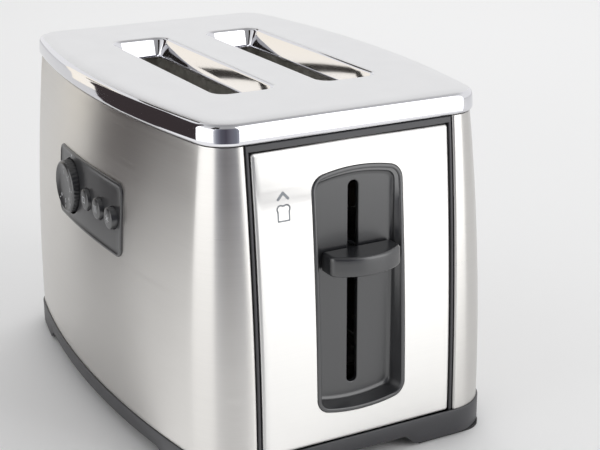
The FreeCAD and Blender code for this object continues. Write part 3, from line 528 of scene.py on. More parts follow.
def make_top_cover():
    """Crowned rim, satin flat and two rolled slot mouths: one pressing with two finishes."""
    profile, shoulder = rim_profile()
    hem_offset, hem_z = profile[-1]
    inside = [(hem_offset - 1.2, hem_z + SHEET), (hem_offset - 1.2, shoulder - 1.5),
              (profile[0][0], RIM_TOP - SHEET)]
    band = Shape()
    band.rings([[(u, v, z) for u, v in plan_loop(offset)] for offset, z in profile + inside + profile[:1]])
    rim = band.finish("top_rim", "housing", COVER, 40)
    keep_satin(rim)
    stand_for(rim, "polished_steel", "top_cover")

    def mouth(side, inset):
        centre = SLOT_CENTRE * side
        across = (centre - SLOT_HALF_WIDTH, centre + SLOT_HALF_WIDTH)
        return box_loop((-SLOT_HALF_LENGTH, SLOT_HALF_LENGTH), across, SLOT_CORNER, -inset, 10, 10)

    plate = Shape()
    rows = []
    for z in (RIM_TOP, RIM_TOP - SHEET):
        edge = [[(u, v, z) for u, v in plan_loop(profile[0][0] - inset)] for inset in (0, 0.4)]
        holes = [[[(u, v, z) for u, v in mouth(side, inset)] for inset in (0, -0.4)] for side in (-1, 1)]
        outer = plate.rings(edge)
        rims = [plate.rings(hole) for hole in holes]
        plate.fill(outer[-1], *[rim_rows[-1] for rim_rows in rims])
        rows.append((outer[0], [rim_rows[0] for rim_rows in rims]))
    plate.bridge(rows[0][0], rows[1][0])
    for upper, lower in zip(rows[0][1], rows[1][1]):
        plate.bridge(upper, lower)
    flat = plate.finish("top_flat", "housing", TOP, 40)

    slope = math.radians(MOUTH_SLOPE)
    turns = [slope * k / 8 for k in range(9)]
    fall = [(MOUTH_ROLL * math.sin(turn), MOUTH_ROLL * (1 - math.cos(turn))) for turn in turns]
    throat = fall[-1][0] + (MOUTH_DEPTH - fall[-1][1]) / math.tan(slope)
    fall += [(throat, MOUTH_DEPTH), (throat + 0.15, MOUTH_DEPTH + 0.5), (throat + 0.2, MOUTH_DEPTH + 1.7),
             (throat - 0.5, MOUTH_DEPTH + 1.7), (throat - 0.6, MOUTH_DEPTH + 0.4), (1.8, 1.9),
             (0.0, SHEET), (0.0, 0.0)]
    for name, side in (("front", -1), ("back", 1)):
        shape = Shape()
        shape.rings([[(u, v, RIM_TOP - depth) for u, v in mouth(side, inset)] for inset, depth in fall])
        roll = shape.finish(f"slot_mouth_{name}", "housing", COVER, 40)
        keep_satin(roll)


# ---------------------------------------------------------------- end panels and their borders
PANEL_ROLL, TRAY_GAP, CORD_HOLE = 2.0, 1.0, 7.1


def end_sheet(name, sign, hole, outer, material):
    """A sheet between a hole's outline and its outer outline, both in (y, z), on the flared end face."""
    rings = []
    for k in range(13):
        share = k / 12
        rings.append([(a[0] + (b[0] - a[0]) * share, a[1] + (b[1] - a[1]) * share, 0.0)
                      for a, b in zip(hole, outer(-PANEL_ROLL))])
    for out, down in quarter_round(PANEL_ROLL, 6)[1:]:
        rings.append([(y, z, down) for y, z in outer(out - PANEL_ROLL)])
    rings.append([(y, z, PANEL_ROLL + 1.2) for y, z in outer(0.0)])
    rings.append([(y, z, PANEL_ROLL + 1.2) for y, z in outer(-0.7)])
    rings.append([(y, z, 0.7) for y, z in outer(-PANEL_ROLL - 0.3)])
    back = [(y, z, 0.7) for y, z in hole]
    rings = [back] + rings + [back]
    shape = Shape()
    shape.rings([[(sign * end_face(z, depth), y, z) for y, z, depth in ring] for ring in rings])
    return shape.finish(name, "housing", material, 40)


def bezel_outline(grow, counts, shift, lift):
    """The lever surround's outline in (y, z), moved sideways by shift and its lower end raised by lift."""
    middle = (BEZEL_BOTTOM + BEZEL_TOP) / 2
    loop = bowed_loop(BEZEL_HALF, BEZEL_BOTTOM, BEZEL_TOP, BEZEL_BOW, BEZEL_CORNER, grow, counts)
    return [(y + shift, z + lift * max(0.0, (middle - z) / (middle - BEZEL_BOTTOM))) for y, z in loop]


def make_lever_panel():
    """The brushed end panel, open behind the lever surround."""
    counts = (24, 8, 24)
    hole = bezel_outline(0.3, counts, BEZEL_SHIFT, 0.0)

    def outer(grow):
        return bowed_loop(PANEL_HALF, BASE_TOP, PANEL_TOP, 20000, 2.0, grow, counts)

    panel = end_sheet("lever_end_sheet", 1, hole, outer, PAINTED_PALER_PANEL_STEEL)
    stand_for(panel, "shell_steel", "lever_end_panel")


def make_rear_panel():
    """The rear panel, open round the cord gland and ending above the tray."""
    door_top = box_mm("crumb_tray_handle")[1].z + TRAY_GAP
    low, high = box_mm("cord_gland")
    centre = ((low.y + high.y) / 2, (low.z + high.z) / 2)
    counts = (24, 8, 24)

    def outer(grow):
        return bowed_loop(PANEL_HALF, door_top, PANEL_TOP, 20000, 2.0, grow, counts)

    hole = []
    for y, z in outer(0.0):
        away = math.atan2(z - centre[1], y - centre[0])
        hole.append((centre[0] + CORD_HOLE * math.cos(away), centre[1] + CORD_HOLE * math.sin(away)))
    panel = end_sheet("rear_end_sheet", -1, hole, outer, PAINTED_PALER_PANEL_STEEL)
    stand_for(panel, "shell_steel", "rear_end_panel")


BEAD_OUT, BEAD_IN = 57.7, 56.15
STRIP_TOP, STRIP_BOTTOM = 176.2, 172.9
GROOVE = 3.4
BORDER_IN, BORDER_OUT, BORDER_INNER_TOP = 54.4, 60.2, 171.4


def arch_path(half, top, steps=24):
    """An upside-down U in (y, z) from the base up, across and down again."""
    side = [BASE_TOP + (top - BASE_TOP) * k / steps for k in range(steps + 1)]
    return [(-half, z) for z in side] + [(half, z) for z in reversed(side)]


def make_borders():
    """Plastic frame behind each end panel: only a narrow bead of it shows, between two dark gaps."""
    edge, proud, frame_back = 0.35, 0.5, GROOVE + 1.0
    profile = [(BORDER_IN, BORDER_INNER_TOP, GROOVE), (BEAD_IN, STRIP_BOTTOM, GROOVE),
               (BEAD_IN, STRIP_BOTTOM, proud + edge), (BEAD_IN + edge, STRIP_BOTTOM + edge, proud),
               (BEAD_OUT - edge, STRIP_TOP - edge, proud), (BEAD_OUT, STRIP_TOP, proud + edge),
               (BEAD_OUT, STRIP_TOP, GROOVE), (BORDER_OUT, RIM_BOTTOM, GROOVE),
               (BORDER_OUT, RIM_BOTTOM, frame_back), (BORDER_IN, BORDER_INNER_TOP, frame_back),
               (BORDER_IN, BORDER_INNER_TOP, GROOVE)]
    for name, sign in (("lever", 1), ("rear", -1)):
        shape = Shape()
        rings = [[(sign * end_face(z, depth), y, z) for y, z in arch_path(half, top)]
                 for half, top, depth in profile]
        shape.rings(rings, closed=False)
        border = shape.finish(f"{name}_border", "housing", BORDER, 30)
        stand_for(border, "black_plastic", f"{name}_end_frame")


# ---------------------------------------------------------------- dished lever surround
def make_bezel():
    """One moulding: rounded lip on the panel, drafted walls, soft corner, upright floor, lever slot."""
    counts = (24, 10, 28)
    lip, draft, floor_round = 2.1, 0.9, 2.2

    def outline(grow, share=1.0):
        return bezel_outline(grow, counts, BEZEL_SHIFT * (1 - share), FLOOR_LIFT * share)

    def on_panel(grow, proud):
        return [(end_face(z) + proud, y, z) for y, z in outline(grow, 0.0)]

    rings = [on_panel(0.0, -2.0), on_panel(0.0, 0.1), on_panel(-0.12, 0.38), on_panel(-0.45, 0.58),
             on_panel(-1.0, 0.62), on_panel(-1.6, 0.6), on_panel(-1.95, 0.42), on_panel(-lip, 0.0)]
    walls = []
    for share in (0.25, 0.5, 0.75, 1.0):
        ring = []
        for (u, v), (wu, wv) in zip(outline(-lip, 0.0), outline(-lip - draft)):
            y, z = u + (wu - u) * share, v + (wv - v) * share
            start = end_face(z)
            stop = min(BEZEL_FLOOR + floor_round, start)
            ring.append((start + (stop - start) * share, y, z))
        walls.append(ring)
    rings += walls
    for k in range(1, 7):
        angle = k / 6 * math.pi / 2
        ring = []
        for y, z in outline(-lip - draft - floor_round * (1 - math.cos(angle))):
            top = min(BEZEL_FLOOR + floor_round, end_face(z))
            ring.append((BEZEL_FLOOR + (top - BEZEL_FLOOR) * (1 - math.sin(angle)), y, z))
        rings.append(ring)

    def slot(grow):
        middle = (LEVER_SLOT_BOTTOM + LEVER_SLOT_TOP) / 2
        reach = (LEVER_SLOT_TOP - LEVER_SLOT_BOTTOM) / 2
        return bowed_loop(LEVER_SLOT_HALF, middle - reach, middle + reach, LEVER_SLOT_HALF + 0.01,
                          LEVER_SLOT_HALF - 0.02, grow, counts)

    floor_edge = outline(-lip - draft - floor_round)
    rings.append([(BEZEL_FLOOR, a[0] + (b[0] - a[0]) * 0.06, a[1] + (b[1] - a[1]) * 0.06)
                  for a, b in zip(floor_edge, slot(0.8))])
    rings.append([(BEZEL_FLOOR, y, z) for y, z in slot(0.8)])
    for out, down in quarter_round(0.4, 3):
        rings.append([(BEZEL_FLOOR - down, y, z) for y, z in slot(0.4 - out)])
    rings.append([(BEZEL_FLOOR - 2.6, y, z) for y, z in slot(0.0)])
    rings.append([(BEZEL_FLOOR - 2.6, y, z) for y, z in slot(3.0)])
    rings.append([(BEZEL_FLOOR - 1.2, y, z) for y, z in outline(-lip, 0.0)])
    rings.append(rings[0])
    shape = Shape()
    shape.rings(rings)
    bezel = shape.finish("lever_surround", "housing", GREY, 50)
    stand_for(bezel, "grey_plastic", "lever_bezel")


# ---------------------------------------------------------------- lever knob
def knob_loop(inset):
    """The knob from above: straight back and sides, bowed front, round front corners."""
    half, back, corner = KNOB_HALF - inset, KNOB_BACK + inset * 0.4, 4.2 - inset * 0.8
    side, front = KNOB_SIDE - inset, KNOB_FRONT - inset
    rise = front - side
    reach = half - corner
    bow = (reach ** 2 + rise ** 2) / (2 * rise)
    middle = front - bow
    lean = math.atan2(reach, math.sqrt((bow - corner) ** 2 - reach ** 2))
    corner_x = middle + (bow - corner) * math.cos(lean)
    points = [(back, half + (-2 * half) * k / 8) for k in range(8)]
    points += [(back + (corner_x - back) * k / 5, -half) for k in range(5)]
    points += sweep(corner_x, -reach, corner, -math.pi / 2, -lean, 8)
    points += sweep(middle, 0, bow, -lean, lean, 24)
    points += sweep(corner_x, reach, corner, lean, math.pi / 2, 8)
    points += [(corner_x + (back - corner_x) * k / 5, half) for k in range(5)]
    return points


def make_knob():
    """The lever bar: softened top and bottom edges on a bowed plan."""
    round_top, round_bottom = 1.7, 1.3
    levels = [(round_bottom + 0.6, KNOB_BOTTOM)]
    for out, down in quarter_round(round_bottom, 5):
        levels.append((round_bottom - out, KNOB_BOTTOM + down))
    upright = KNOB_TOP - KNOB_BOTTOM - round_top - round_bottom
    for share in (0.35, 0.7):
        levels.append((0.0, KNOB_BOTTOM + round_bottom + upright * share))
    for out, down in reversed(quarter_round(round_top, 6)):
        levels.append((round_top - out, KNOB_TOP - down))
    levels.append((round_top + 0.6, KNOB_TOP))
    shape = Shape()
    shape.rings([[(x, y + KNOB_SHIFT, z) for x, y in knob_loop(inset)] for inset, z in levels],
                cap_first=True, cap_last=True)
    knob = shape.finish("lever_finger_bar", "carriage", GREY, 40)
    stand_for(knob, "grey_plastic", "lever_knob")


# ---------------------------------------------------------------- base with its feet
FOOT_START_X, FOOT_START_Y, ARCH_RUN = 92.0, 36.0, 9.0


def skirt_low(x, y):
    """How low the base's skirt hangs: down to the feet at the corners, arched between them."""
    def blend(distance):
        share = min(max(distance / ARCH_RUN, 0.0), 1.0)
        return share * share * (3 - 2 * share)

    at_corner = min(blend(abs(x) - FOOT_START_X + ARCH_RUN), blend(abs(y) - FOOT_START_Y + ARCH_RUN))
    return BASE_BOTTOM + (PAD_TOP - BASE_BOTTOM) * at_corner


def make_base():
    """The base and its feet in one skirt, with a soft top edge just proud of the shell."""
    offset = SPREAD_BASE + BASE_PROUD
    counts = (120, 20, 220)

    def ring(inset, height):
        return [(u, v, height(u, v)) for u, v in plan_loop(offset - inset, counts)]

    def low(lift):
        return lambda u, v: skirt_low(u, v) + lift

    def level(z):
        return lambda u, v: z

    rings = [ring(1.6, level(BASE_TOP - 0.4)), ring(0.5, level(BASE_TOP)), ring(0.15, level(BASE_TOP - 0.15)),
             ring(0.0, level(BASE_TOP - 0.5)), ring(0.0, level(BASE_TOP - 4.0)), ring(0.0, low(0.6)),
             ring(0.2, low(0.15)), ring(0.7, low(0.0)), ring(9.0, low(0.0)), ring(9.6, low(0.2)),
             ring(9.8, low(0.6)), ring(10.0, level(BASE_BOTTOM + 0.01)), ring(12.0, level(BASE_BOTTOM))]
    shape = Shape()
    shape.rings(rings, cap_last=True)
    base = shape.finish("base_moulding", "housing", BASE, 45)
    stand_for(base, "black_plastic", "base", "feet")


# ---------------------------------------------------------------- prints
def stroke(points, width):
    """A line of (u, v) points as convex outlines: one bar a span, one disc a point."""
    outlines = []
    half = width / 2
    for (u, v), (next_u, next_v) in zip(points, points[1:]):
        reach = math.hypot(next_u - u, next_v - v)
        side_u, side_v = -(next_v - v) / reach * half, (next_u - u) / reach * half
        outlines.append([(u - side_u, v - side_v), (next_u - side_u, next_v - side_v),
                         (next_u + side_u, next_v + side_v), (u + side_u, v + side_v)])
    for u, v in points:
        outlines.append(sweep(u, v, half, 0, TURN, 12))
    return outlines


def lay_print(name, outlines, place, body, material, thickness=0.05):
    """Flat print from convex outlines; place(u, v, height) gives the point on the surface."""
    shape = Shape()
    for outline in outlines:
        shape.rings([[place(u, v, height) for u, v in outline] for height in (-0.03, thickness)],
                    cap_first=True, cap_last=True)
    return shape.finish(name, body, material, 30)


def lay_digits(name, digits, place, body, material, size, thickness=0.05):
    """Printed numbers from (text, u, v): each font outline is made solid and laid on the surface."""
    shape = Shape()
    for text, centre_u, centre_v in digits:
        curve = bpy.data.curves.new("digit", "FONT")
        curve.body = text
        curve.size = size
        curve.extrude = 0.5
        curve.align_x = "CENTER"
        curve.align_y = "CENTER"
        thing = bpy.data.objects.new("digit", curve)
        bpy.context.scene.collection.objects.link(thing)
        bpy.context.view_layer.update()
        solid = bpy.data.meshes.new_from_object(thing.evaluated_get(bpy.context.evaluated_depsgraph_get()))
        bpy.data.objects.remove(thing)
        points = [shape.point(place(v.co.x + centre_u, v.co.y + centre_v, v.co.z * 2 * thickness))
                  for v in solid.vertices]
        for polygon in solid.polygons:
            shape.work.faces.new([points[index] for index in polygon.vertices])
    return shape.finish(name, body, material, 30)


def slice_outline(centre_u, centre_v, size):
    """A slice of bread: straight sides under two round shoulders."""
    half = size * 0.40
    points = [(centre_u - half, centre_v - size * 0.5), (centre_u - half, centre_v + size * 0.12)]
    for k in range(9):
        angle = math.radians(215 - 160 * k / 8)
        points.append((centre_u - half * 0.52 + half * 0.62 * math.cos(angle),
                       centre_v + size * 0.28 + half * 0.62 * math.sin(angle)))
    mirrored = [(2 * centre_u - u, v) for u, v in reversed(points)]
    return points + mirrored + points[:1]


def make_panel_prints():
    """Beside the lever: a chevron over a slice of bread."""
    def place(u, v, height):
        return (end_face(v) + height, u, v)

    chevron = stroke([(-42.6, 148.6), (-39.9, 151.6), (-37.2, 148.6)], 1.4)
    bread = stroke(slice_outline(-39.9, 141.6, 7.6), 0.75)
    lay_print("lift_mark", chevron + bread, place, "housing", PRINT)


# ---------------------------------------------------------------- control surround, dial and keys
CONTROL_HALF, CONTROL_LOW, CONTROL_HIGH, CONTROL_CORNER, CONTROL_BACK = 48.0, 100.0, 140.0, 5.0, -86.5
WINDOW_HALF, WINDOW_LOW, WINDOW_HIGH, FACE = 46.8, 101.3, 138.7, 0.72
WELL_RADIUS, WELL_FLOOR, SHAFT_HOLE, CUT_START, CUT_END = 16.0, -89.8, 3.6, -110.0, -80.0
DIAL_X, CONTROL_Z, DIAL_RADIUS, DIAL_FRONT, DIAL_BACK = -26.0, 120.0, 15.0, -96.9, -90.2
DIAL_FIRST, DIAL_STEP, FLUTES, DISH = 90.0, 45.0, 36, 0.75
DIGIT_REACH, TICK_REACH = 8.3, (10.9, 12.0)
KEYS = {"cancel": 2.0, "reheat": 20.0, "defrost": 38.0}
KEY_RADIUS, KEY_FRONT, KEY_BACK, KEY_FLANGE, KEY_GAP = 6.0, -95.3, -82.0, 7.2, 0.3


def side_face(x, z, proud=0.0):
    """Y of the control side's surface at (x, z), proud of it."""
    bow = SIDE_BOW + spread(z)
    return -(HALF_WIDTH + spread(z)) + bow - math.sqrt(bow * bow - x * x) - proud


def round_cutter(name, x, radius, start, end):
    """A plain round cutter across the control side."""
    shape = Shape()
    shape.rings([lathe_ring((x, 0, CONTROL_Z), 1, radius, y, 64) for y in (start, end)],
                cap_first=True, cap_last=True)
    return shape.finish(name, "housing", GREY)


def make_control_window():
    """The front wrap's opening behind the control surround."""
    window = box_loop((-WINDOW_HALF, WINDOW_HALF), (WINDOW_LOW, WINDOW_HIGH), 4.0)
    cutter = Shape()
    cutter.rings([[(x, y, z) for x, z in window] for y in (CUT_START, CUT_END)],
                 cap_first=True, cap_last=True)
    carve(bpy.data.objects["side_wrap_front"], [cutter.finish("window_cutter", "housing", GREY)])


def make_control_surround():
    """A gently bowed plate with a lip, a dial well and three key holes."""
    def ring(grow, proud, share=1.0):
        middle = (CONTROL_LOW + CONTROL_HIGH) / 2
        across, upwards = (-CONTROL_HALF, CONTROL_HALF), (CONTROL_LOW, CONTROL_HIGH)
        loop = box_loop(across, upwards, CONTROL_CORNER, grow, 8, 10)
        points = [(x * share, middle + (z - middle) * share) for x, z in loop]
        return [(x, side_face(x, z, proud), z) for x, z in points]

    rings = [[(x, CONTROL_BACK, z) for x, _, z in ring(-1.4, 0.0)]]
    rings += [ring(grow, proud) for grow, proud in ((-1.4, 0.0), (0.0, 0.05), (0.0, 0.5), (-0.25, 0.85),
                                                    (-0.8, 1.0), (-1.5, 0.98), (-1.9, 0.8), (-2.3, FACE))]
    rings += [ring(-2.3, FACE, share) for share in (0.9, 0.75, 0.55, 0.35, 0.15)]
    shape = Shape()
    shape.rings(rings, cap_first=True, cap_last=True)
    plate = shape.finish("control_surround", "housing", GREY, 40)
    cutters = [round_cutter("well_cutter", DIAL_X, WELL_RADIUS, CUT_START, WELL_FLOOR),
               round_cutter("shaft_cutter", DIAL_X, SHAFT_HOLE, CUT_START, CUT_END)]
    for key, x in KEYS.items():
        cutters.append(round_cutter(f"{key}_cutter", x, KEY_RADIUS + KEY_GAP, CUT_START, CUT_END))
    carve(plate, cutters)
    stand_for(plate, "grey_plastic", "control_bezel")

    def place(u, v, height):
        return (u, side_face(u, v, FACE + height), v)

    arrow = [[(DIAL_X - 1.1, 138.1), (DIAL_X, 136.5), (DIAL_X + 1.1, 138.1)]]
    lay_print("dial_index", arrow, place, "housing", PALE_PRINT)


def make_dial():
    """Fluted skirt, rolled edge and a shallow dish with numbers round it."""
    def flute(angle):
        return 1.0 - 0.022 * (0.5 + 0.5 * math.cos(FLUTES * angle)) ** 2

    skirt, roll = 14.9, 1.7
    profile = [(3.0, DIAL_BACK, False), (13.4, DIAL_BACK, False), (14.6, DIAL_BACK - 0.1, False),
               (DIAL_RADIUS, DIAL_BACK - 0.5, False), (DIAL_RADIUS, DIAL_BACK - 1.2, True),
               (skirt, DIAL_BACK - 4.6, True)]
    for k in range(1, 7):
        angle = k / 6 * math.pi / 2
        y = DIAL_FRONT + roll - roll * math.sin(angle) + 0.05
        profile.append((skirt - roll * (1 - math.cos(angle)), y, k < 2))
    profile += [(12.8, DIAL_FRONT + 0.12, False), (12.3, DIAL_FRONT + 0.4, False),
                (6.0, DIAL_FRONT + DISH, False), (1.0, DIAL_FRONT + 0.8, False)]
    centre = (DIAL_X, 0, CONTROL_Z)
    shape = Shape()
    shape.rings([lathe_ring(centre, 1, radius, y, 216, flute if fluted else None)
                 for radius, y, fluted in profile], cap_first=True, cap_last=True)
    dial = shape.finish("dial_knob", "dial", GREY, 35)
    stand_for(dial, "grey_plastic", "browning_dial")

    def place(u, v, height):
        reach = math.hypot(u, v)
        share = min(max((reach - 6.0) / 6.3, 0.0), 1.0)
        return (DIAL_X + u, DIAL_FRONT + DISH - 0.35 * share - height, CONTROL_Z + v)

    digits, ticks = [], []
    for number in range(1, 7):
        angle = math.radians(DIAL_FIRST - DIAL_STEP * (number - 1))
        along, up = math.cos(angle), math.sin(angle)
        digits.append((str(number), DIGIT_REACH * along, DIGIT_REACH * up))
        ticks += stroke([(reach * along, reach * up) for reach in TICK_REACH], 0.5)
    lay_digits("dial_numbers", digits, place, "dial", PALE_PRINT, 3.4)
    lay_print("dial_ticks", ticks, place, "dial", PALE_PRINT)


def make_keys():
    """Domed keys on flanged stems, each with its own plain mark."""
    dome = [(4.0, KEY_BACK), (4.0, KEY_BACK - 1.0), (KEY_FLANGE, KEY_BACK - 1.0),
            (KEY_FLANGE, KEY_BACK - 2.2), (5.9, KEY_BACK - 2.2), (5.9, KEY_FRONT + 1.0),
            (5.7, KEY_FRONT + 0.55), (5.2, KEY_FRONT + 0.25), (4.2, KEY_FRONT + 0.12),
            (2.2, KEY_FRONT + 0.03), (0.5, KEY_FRONT)]
    waves = [[(u + 0.35 * math.sin(k / 8 * TURN), -1.9 + 3.8 * k / 8) for k in range(9)]
             for u in (-1.6, 0, 1.6)]
    flake = [[(-2.1 * math.cos(a), -2.1 * math.sin(a)), (2.1 * math.cos(a), 2.1 * math.sin(a))]
             for a in (math.pi / 2, math.pi / 6, -math.pi / 6)]
    square = [[(-1.5, -1.5), (1.5, -1.5), (1.5, 1.5), (-1.5, 1.5), (-1.5, -1.5)]]
    marks = {"cancel": square, "reheat": waves, "defrost": flake}
    for key, x in KEYS.items():
        shape = Shape()
        shape.rings([lathe_ring((x, 0, CONTROL_Z), 1, radius, y, 48) for radius, y in dome],
                    cap_first=True, cap_last=True)
        cap = shape.finish(f"{key}_cap", f"{key}_key", GREY, 35)
        stand_for(cap, "grey_plastic", f"{key}_button")

        def place(u, v, height):
            return (x + u, KEY_FRONT + 0.02 * (u * u + v * v) ** 0.5 - height, CONTROL_Z + v)

        bars = [bar for line in marks[key] for bar in stroke(line, 0.4)]
        lay_print(f"{key}_mark", bars, place, f"{key}_key", PALE_PRINT, 0.06)


# ---------------------------------------------------------------- rear: crumb tray handle and cord gland
def make_tray_handle():
    """A bar across the rear with rounded ends and an arched finger grip underneath."""
    low, high = box_mm("crumb_tray_handle")
    steps, end = 96, 1.4
    rings = []
    for k in range(steps + 1):
        y = low.y + (high.y - low.y) * k / steps
        near_end = max(0.0, end - min(y - low.y, high.y - y)) / end
        inset = end * (1 - math.sqrt(max(0.0, 1 - near_end ** 2))) * 0.8
        share = min(max((26.0 - abs(y)) / 9.0, 0.0), 1.0)
        arch = 2.6 * share * share * (3 - 2 * share)
        across, upwards = (low.x + inset, high.x - 0.02), (low.z + arch + inset, high.z - inset)
        loop = box_loop(across, upwards, 1.1, 0.0, 5, 2)
        rings.append([(x, y, z) for x, z in loop])
    shape = Shape()
    shape.rings(rings, cap_first=True, cap_last=True)
    handle = shape.finish("tray_bar", "tray", BASE, 40)
    stand_for(handle, "black_plastic", "crumb_tray_handle")


def make_cord_gland():
    """Ribbed strain relief with an open bore; there is no cord in it."""
    low, high = box_mm("cord_gland")
    centre = ((low.x + high.x) / 2, (low.y + high.y) / 2, (low.z + high.z) / 2)
    profile = [(3.6, high.x), (3.6, low.x + 0.5), (4.0, low.x), (5.1, low.x), (5.6, low.x + 0.5)]
    for k in range(4):
        start = low.x + 1.3 + 1.9 * k
        radius = 5.7 + 0.3 * k
        profile += [(radius, start), (radius - 1.0, start + 0.3), (radius - 1.0, start + 0.9),
                    (radius + 0.1, start + 1.2)]
    flange = low.x + 9.2
    profile += [(7.0, flange), (9.3, flange + 0.2), (9.9, flange + 0.7), (9.9, flange + 1.5),
                (9.6, flange + 1.8), (6.9, flange + 1.8), (6.9, flange + 5.2), (9.0, flange + 5.5),
                (9.0, high.x), (3.6, high.x)]
    shape = Shape()
    shape.rings([lathe_ring(centre, 0, radius, x, 48) for radius, x in profile])
    gland = shape.finish("strain_relief", "housing", BASE, 35)
    stand_for(gland, "black_plastic", "cord_gland")


# ---------------------------------------------------------------- bread guides, racks and the return spring
HOOPS, HOOP_HALF = (-66.0, -22.0, 22.0, 66.0), 10.0
RACK_FINGERS, FIRST_FINGER, RACK_PITCH, RACK_SHEET, SCALLOP = 5, 56.0, 28.0, 1.2, 1.8
FINGER_HALF, FINGER_TEETH = 9.8, 8
SPRING_TURNS, SPRING_COIL, SPRING_WIRE, TURN_STEPS = 18, 2.9, 0.48, 16


def make_bread_guides():
    """Four wire guides: a pivot bar with four hoops, bent from round wire."""
    for side in ("front", "back"):
        for place in ("outer", "inner"):
            node = f"bread_guide_{side}_{place}"
            low, high = box_mm(node)
            y = (low.y + high.y) / 2
            foot, top = low.z + 1.0, high.z - 1.0
            runs = [[(low.x, y, foot), (high.x, y, foot)]]
            for x in HOOPS:
                runs.append(bent([(x - HOOP_HALF, y, foot), (x - HOOP_HALF, y, top), (x + HOOP_HALF, y, top),
                                  (x + HOOP_HALF, y, foot)], 4.0))
            guide = tube(f"guide_wire_{side}_{place}", runs, 1.0, f"{side}_{place}_guide", ZINC)
            stand_for(guide, "zinc_steel", node)


def cut_sheet(shape, outline, place, thickness):
    """A flat blank with any outline, in (u, v); place(u, v, w) gives its points."""
    rows = [[shape.point(place(u, v, w)) for u, v in outline] for w in (-thickness / 2, thickness / 2)]
    shape.bridge(*rows)
    for row in rows:
        shape.fill(row)


def finger_x(k):
    """X of the bread rack's cross finger k."""
    return FIRST_FINGER - RACK_PITCH * k


def make_bread_racks():
    """Pressed rails with scalloped tops and toothed cross fingers that carry the bread."""
    for name, side in (("front", -1), ("back", 1)):
        low, high = box_mm(f"bread_rack_{name}")
        y = SLOT_CENTRE * side
        rail_top = high.z - 0.4
        outline = [(high.x, rail_top)]
        for k in range(RACK_FINGERS):
            for n in range(1 if k else 0, 13):
                share = n / 12
                scallop = SCALLOP * math.sin(math.pi * share) ** 2
                outline.append((finger_x(k) + RACK_PITCH * (0.5 - share), rail_top - scallop))
        outline += [(low.x, rail_top), (low.x, low.z), (high.x, low.z)]
        shape = Shape()
        cut_sheet(shape, outline, lambda u, v, w: (u, y + w, v), RACK_SHEET)
        for k in range(RACK_FINGERS):
            teeth = [(FINGER_HALF, low.z + 1.6)]
            for n in range(FINGER_TEETH):
                teeth.append((FINGER_HALF - 2 * FINGER_HALF * n / FINGER_TEETH, high.z - 0.9))
                teeth.append((FINGER_HALF - 2 * FINGER_HALF * (n + 0.5) / FINGER_TEETH, high.z))
            teeth += [(-FINGER_HALF, high.z - 0.9), (-FINGER_HALF, low.z + 1.6)]
            cut_sheet(shape, teeth, lambda u, v, w: (finger_x(k) + w, y + u, v), RACK_SHEET)
        rack = shape.finish(f"toothed_rack_{name}", "carriage", ZINC, 30)
        stand_for(rack, "zinc_steel", f"bread_rack_{name}")


def make_return_spring():
    """Close-wound tension spring with a straight end on the bulkhead and one on the carriage."""
    low, high = box_mm("return_spring")
    x, y = (low.x + high.x) / 2, (low.y + high.y) / 2
    start, stop, count = low.z + 2.6, high.z - 2.6, SPRING_TURNS * TURN_STEPS
    run = [(x, y, low.z + 0.5), (x, y, low.z + 1.4)]
    for k in range(count + 1):
        angle = TURN * k / TURN_STEPS
        reach = SPRING_COIL * min(1.0, k / TURN_STEPS * 2, (count - k) / TURN_STEPS * 2)
        z = start + (stop - start) * k / count
        run.append((x + reach * math.cos(angle), y + reach * math.sin(angle), z))
    run += [(x, y, high.z - 1.4), (x, y, high.z - 0.5)]
    loops = []
    for k, place in enumerate(run):
        before, after = Vector(run[max(k - 1, 0)]), Vector(run[min(k + 1, len(run) - 1)])
        along = (after - before).normalized()
        out = Vector((math.cos(TURN * k / TURN_STEPS), math.sin(TURN * k / TURN_STEPS), 0.0))
        out = (out - along * out.dot(along)).normalized()
        loops.append(wire_ring(Vector(place), out, along.cross(out), SPRING_WIRE, 7))
    shape = Shape()
    shape.rings(loops, cap_first=True, cap_last=True)
    spring = shape.finish("wound_return_spring", None, SPRING, 60)
    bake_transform(spring)
    stand_for(spring, "spring_steel", "return_spring")


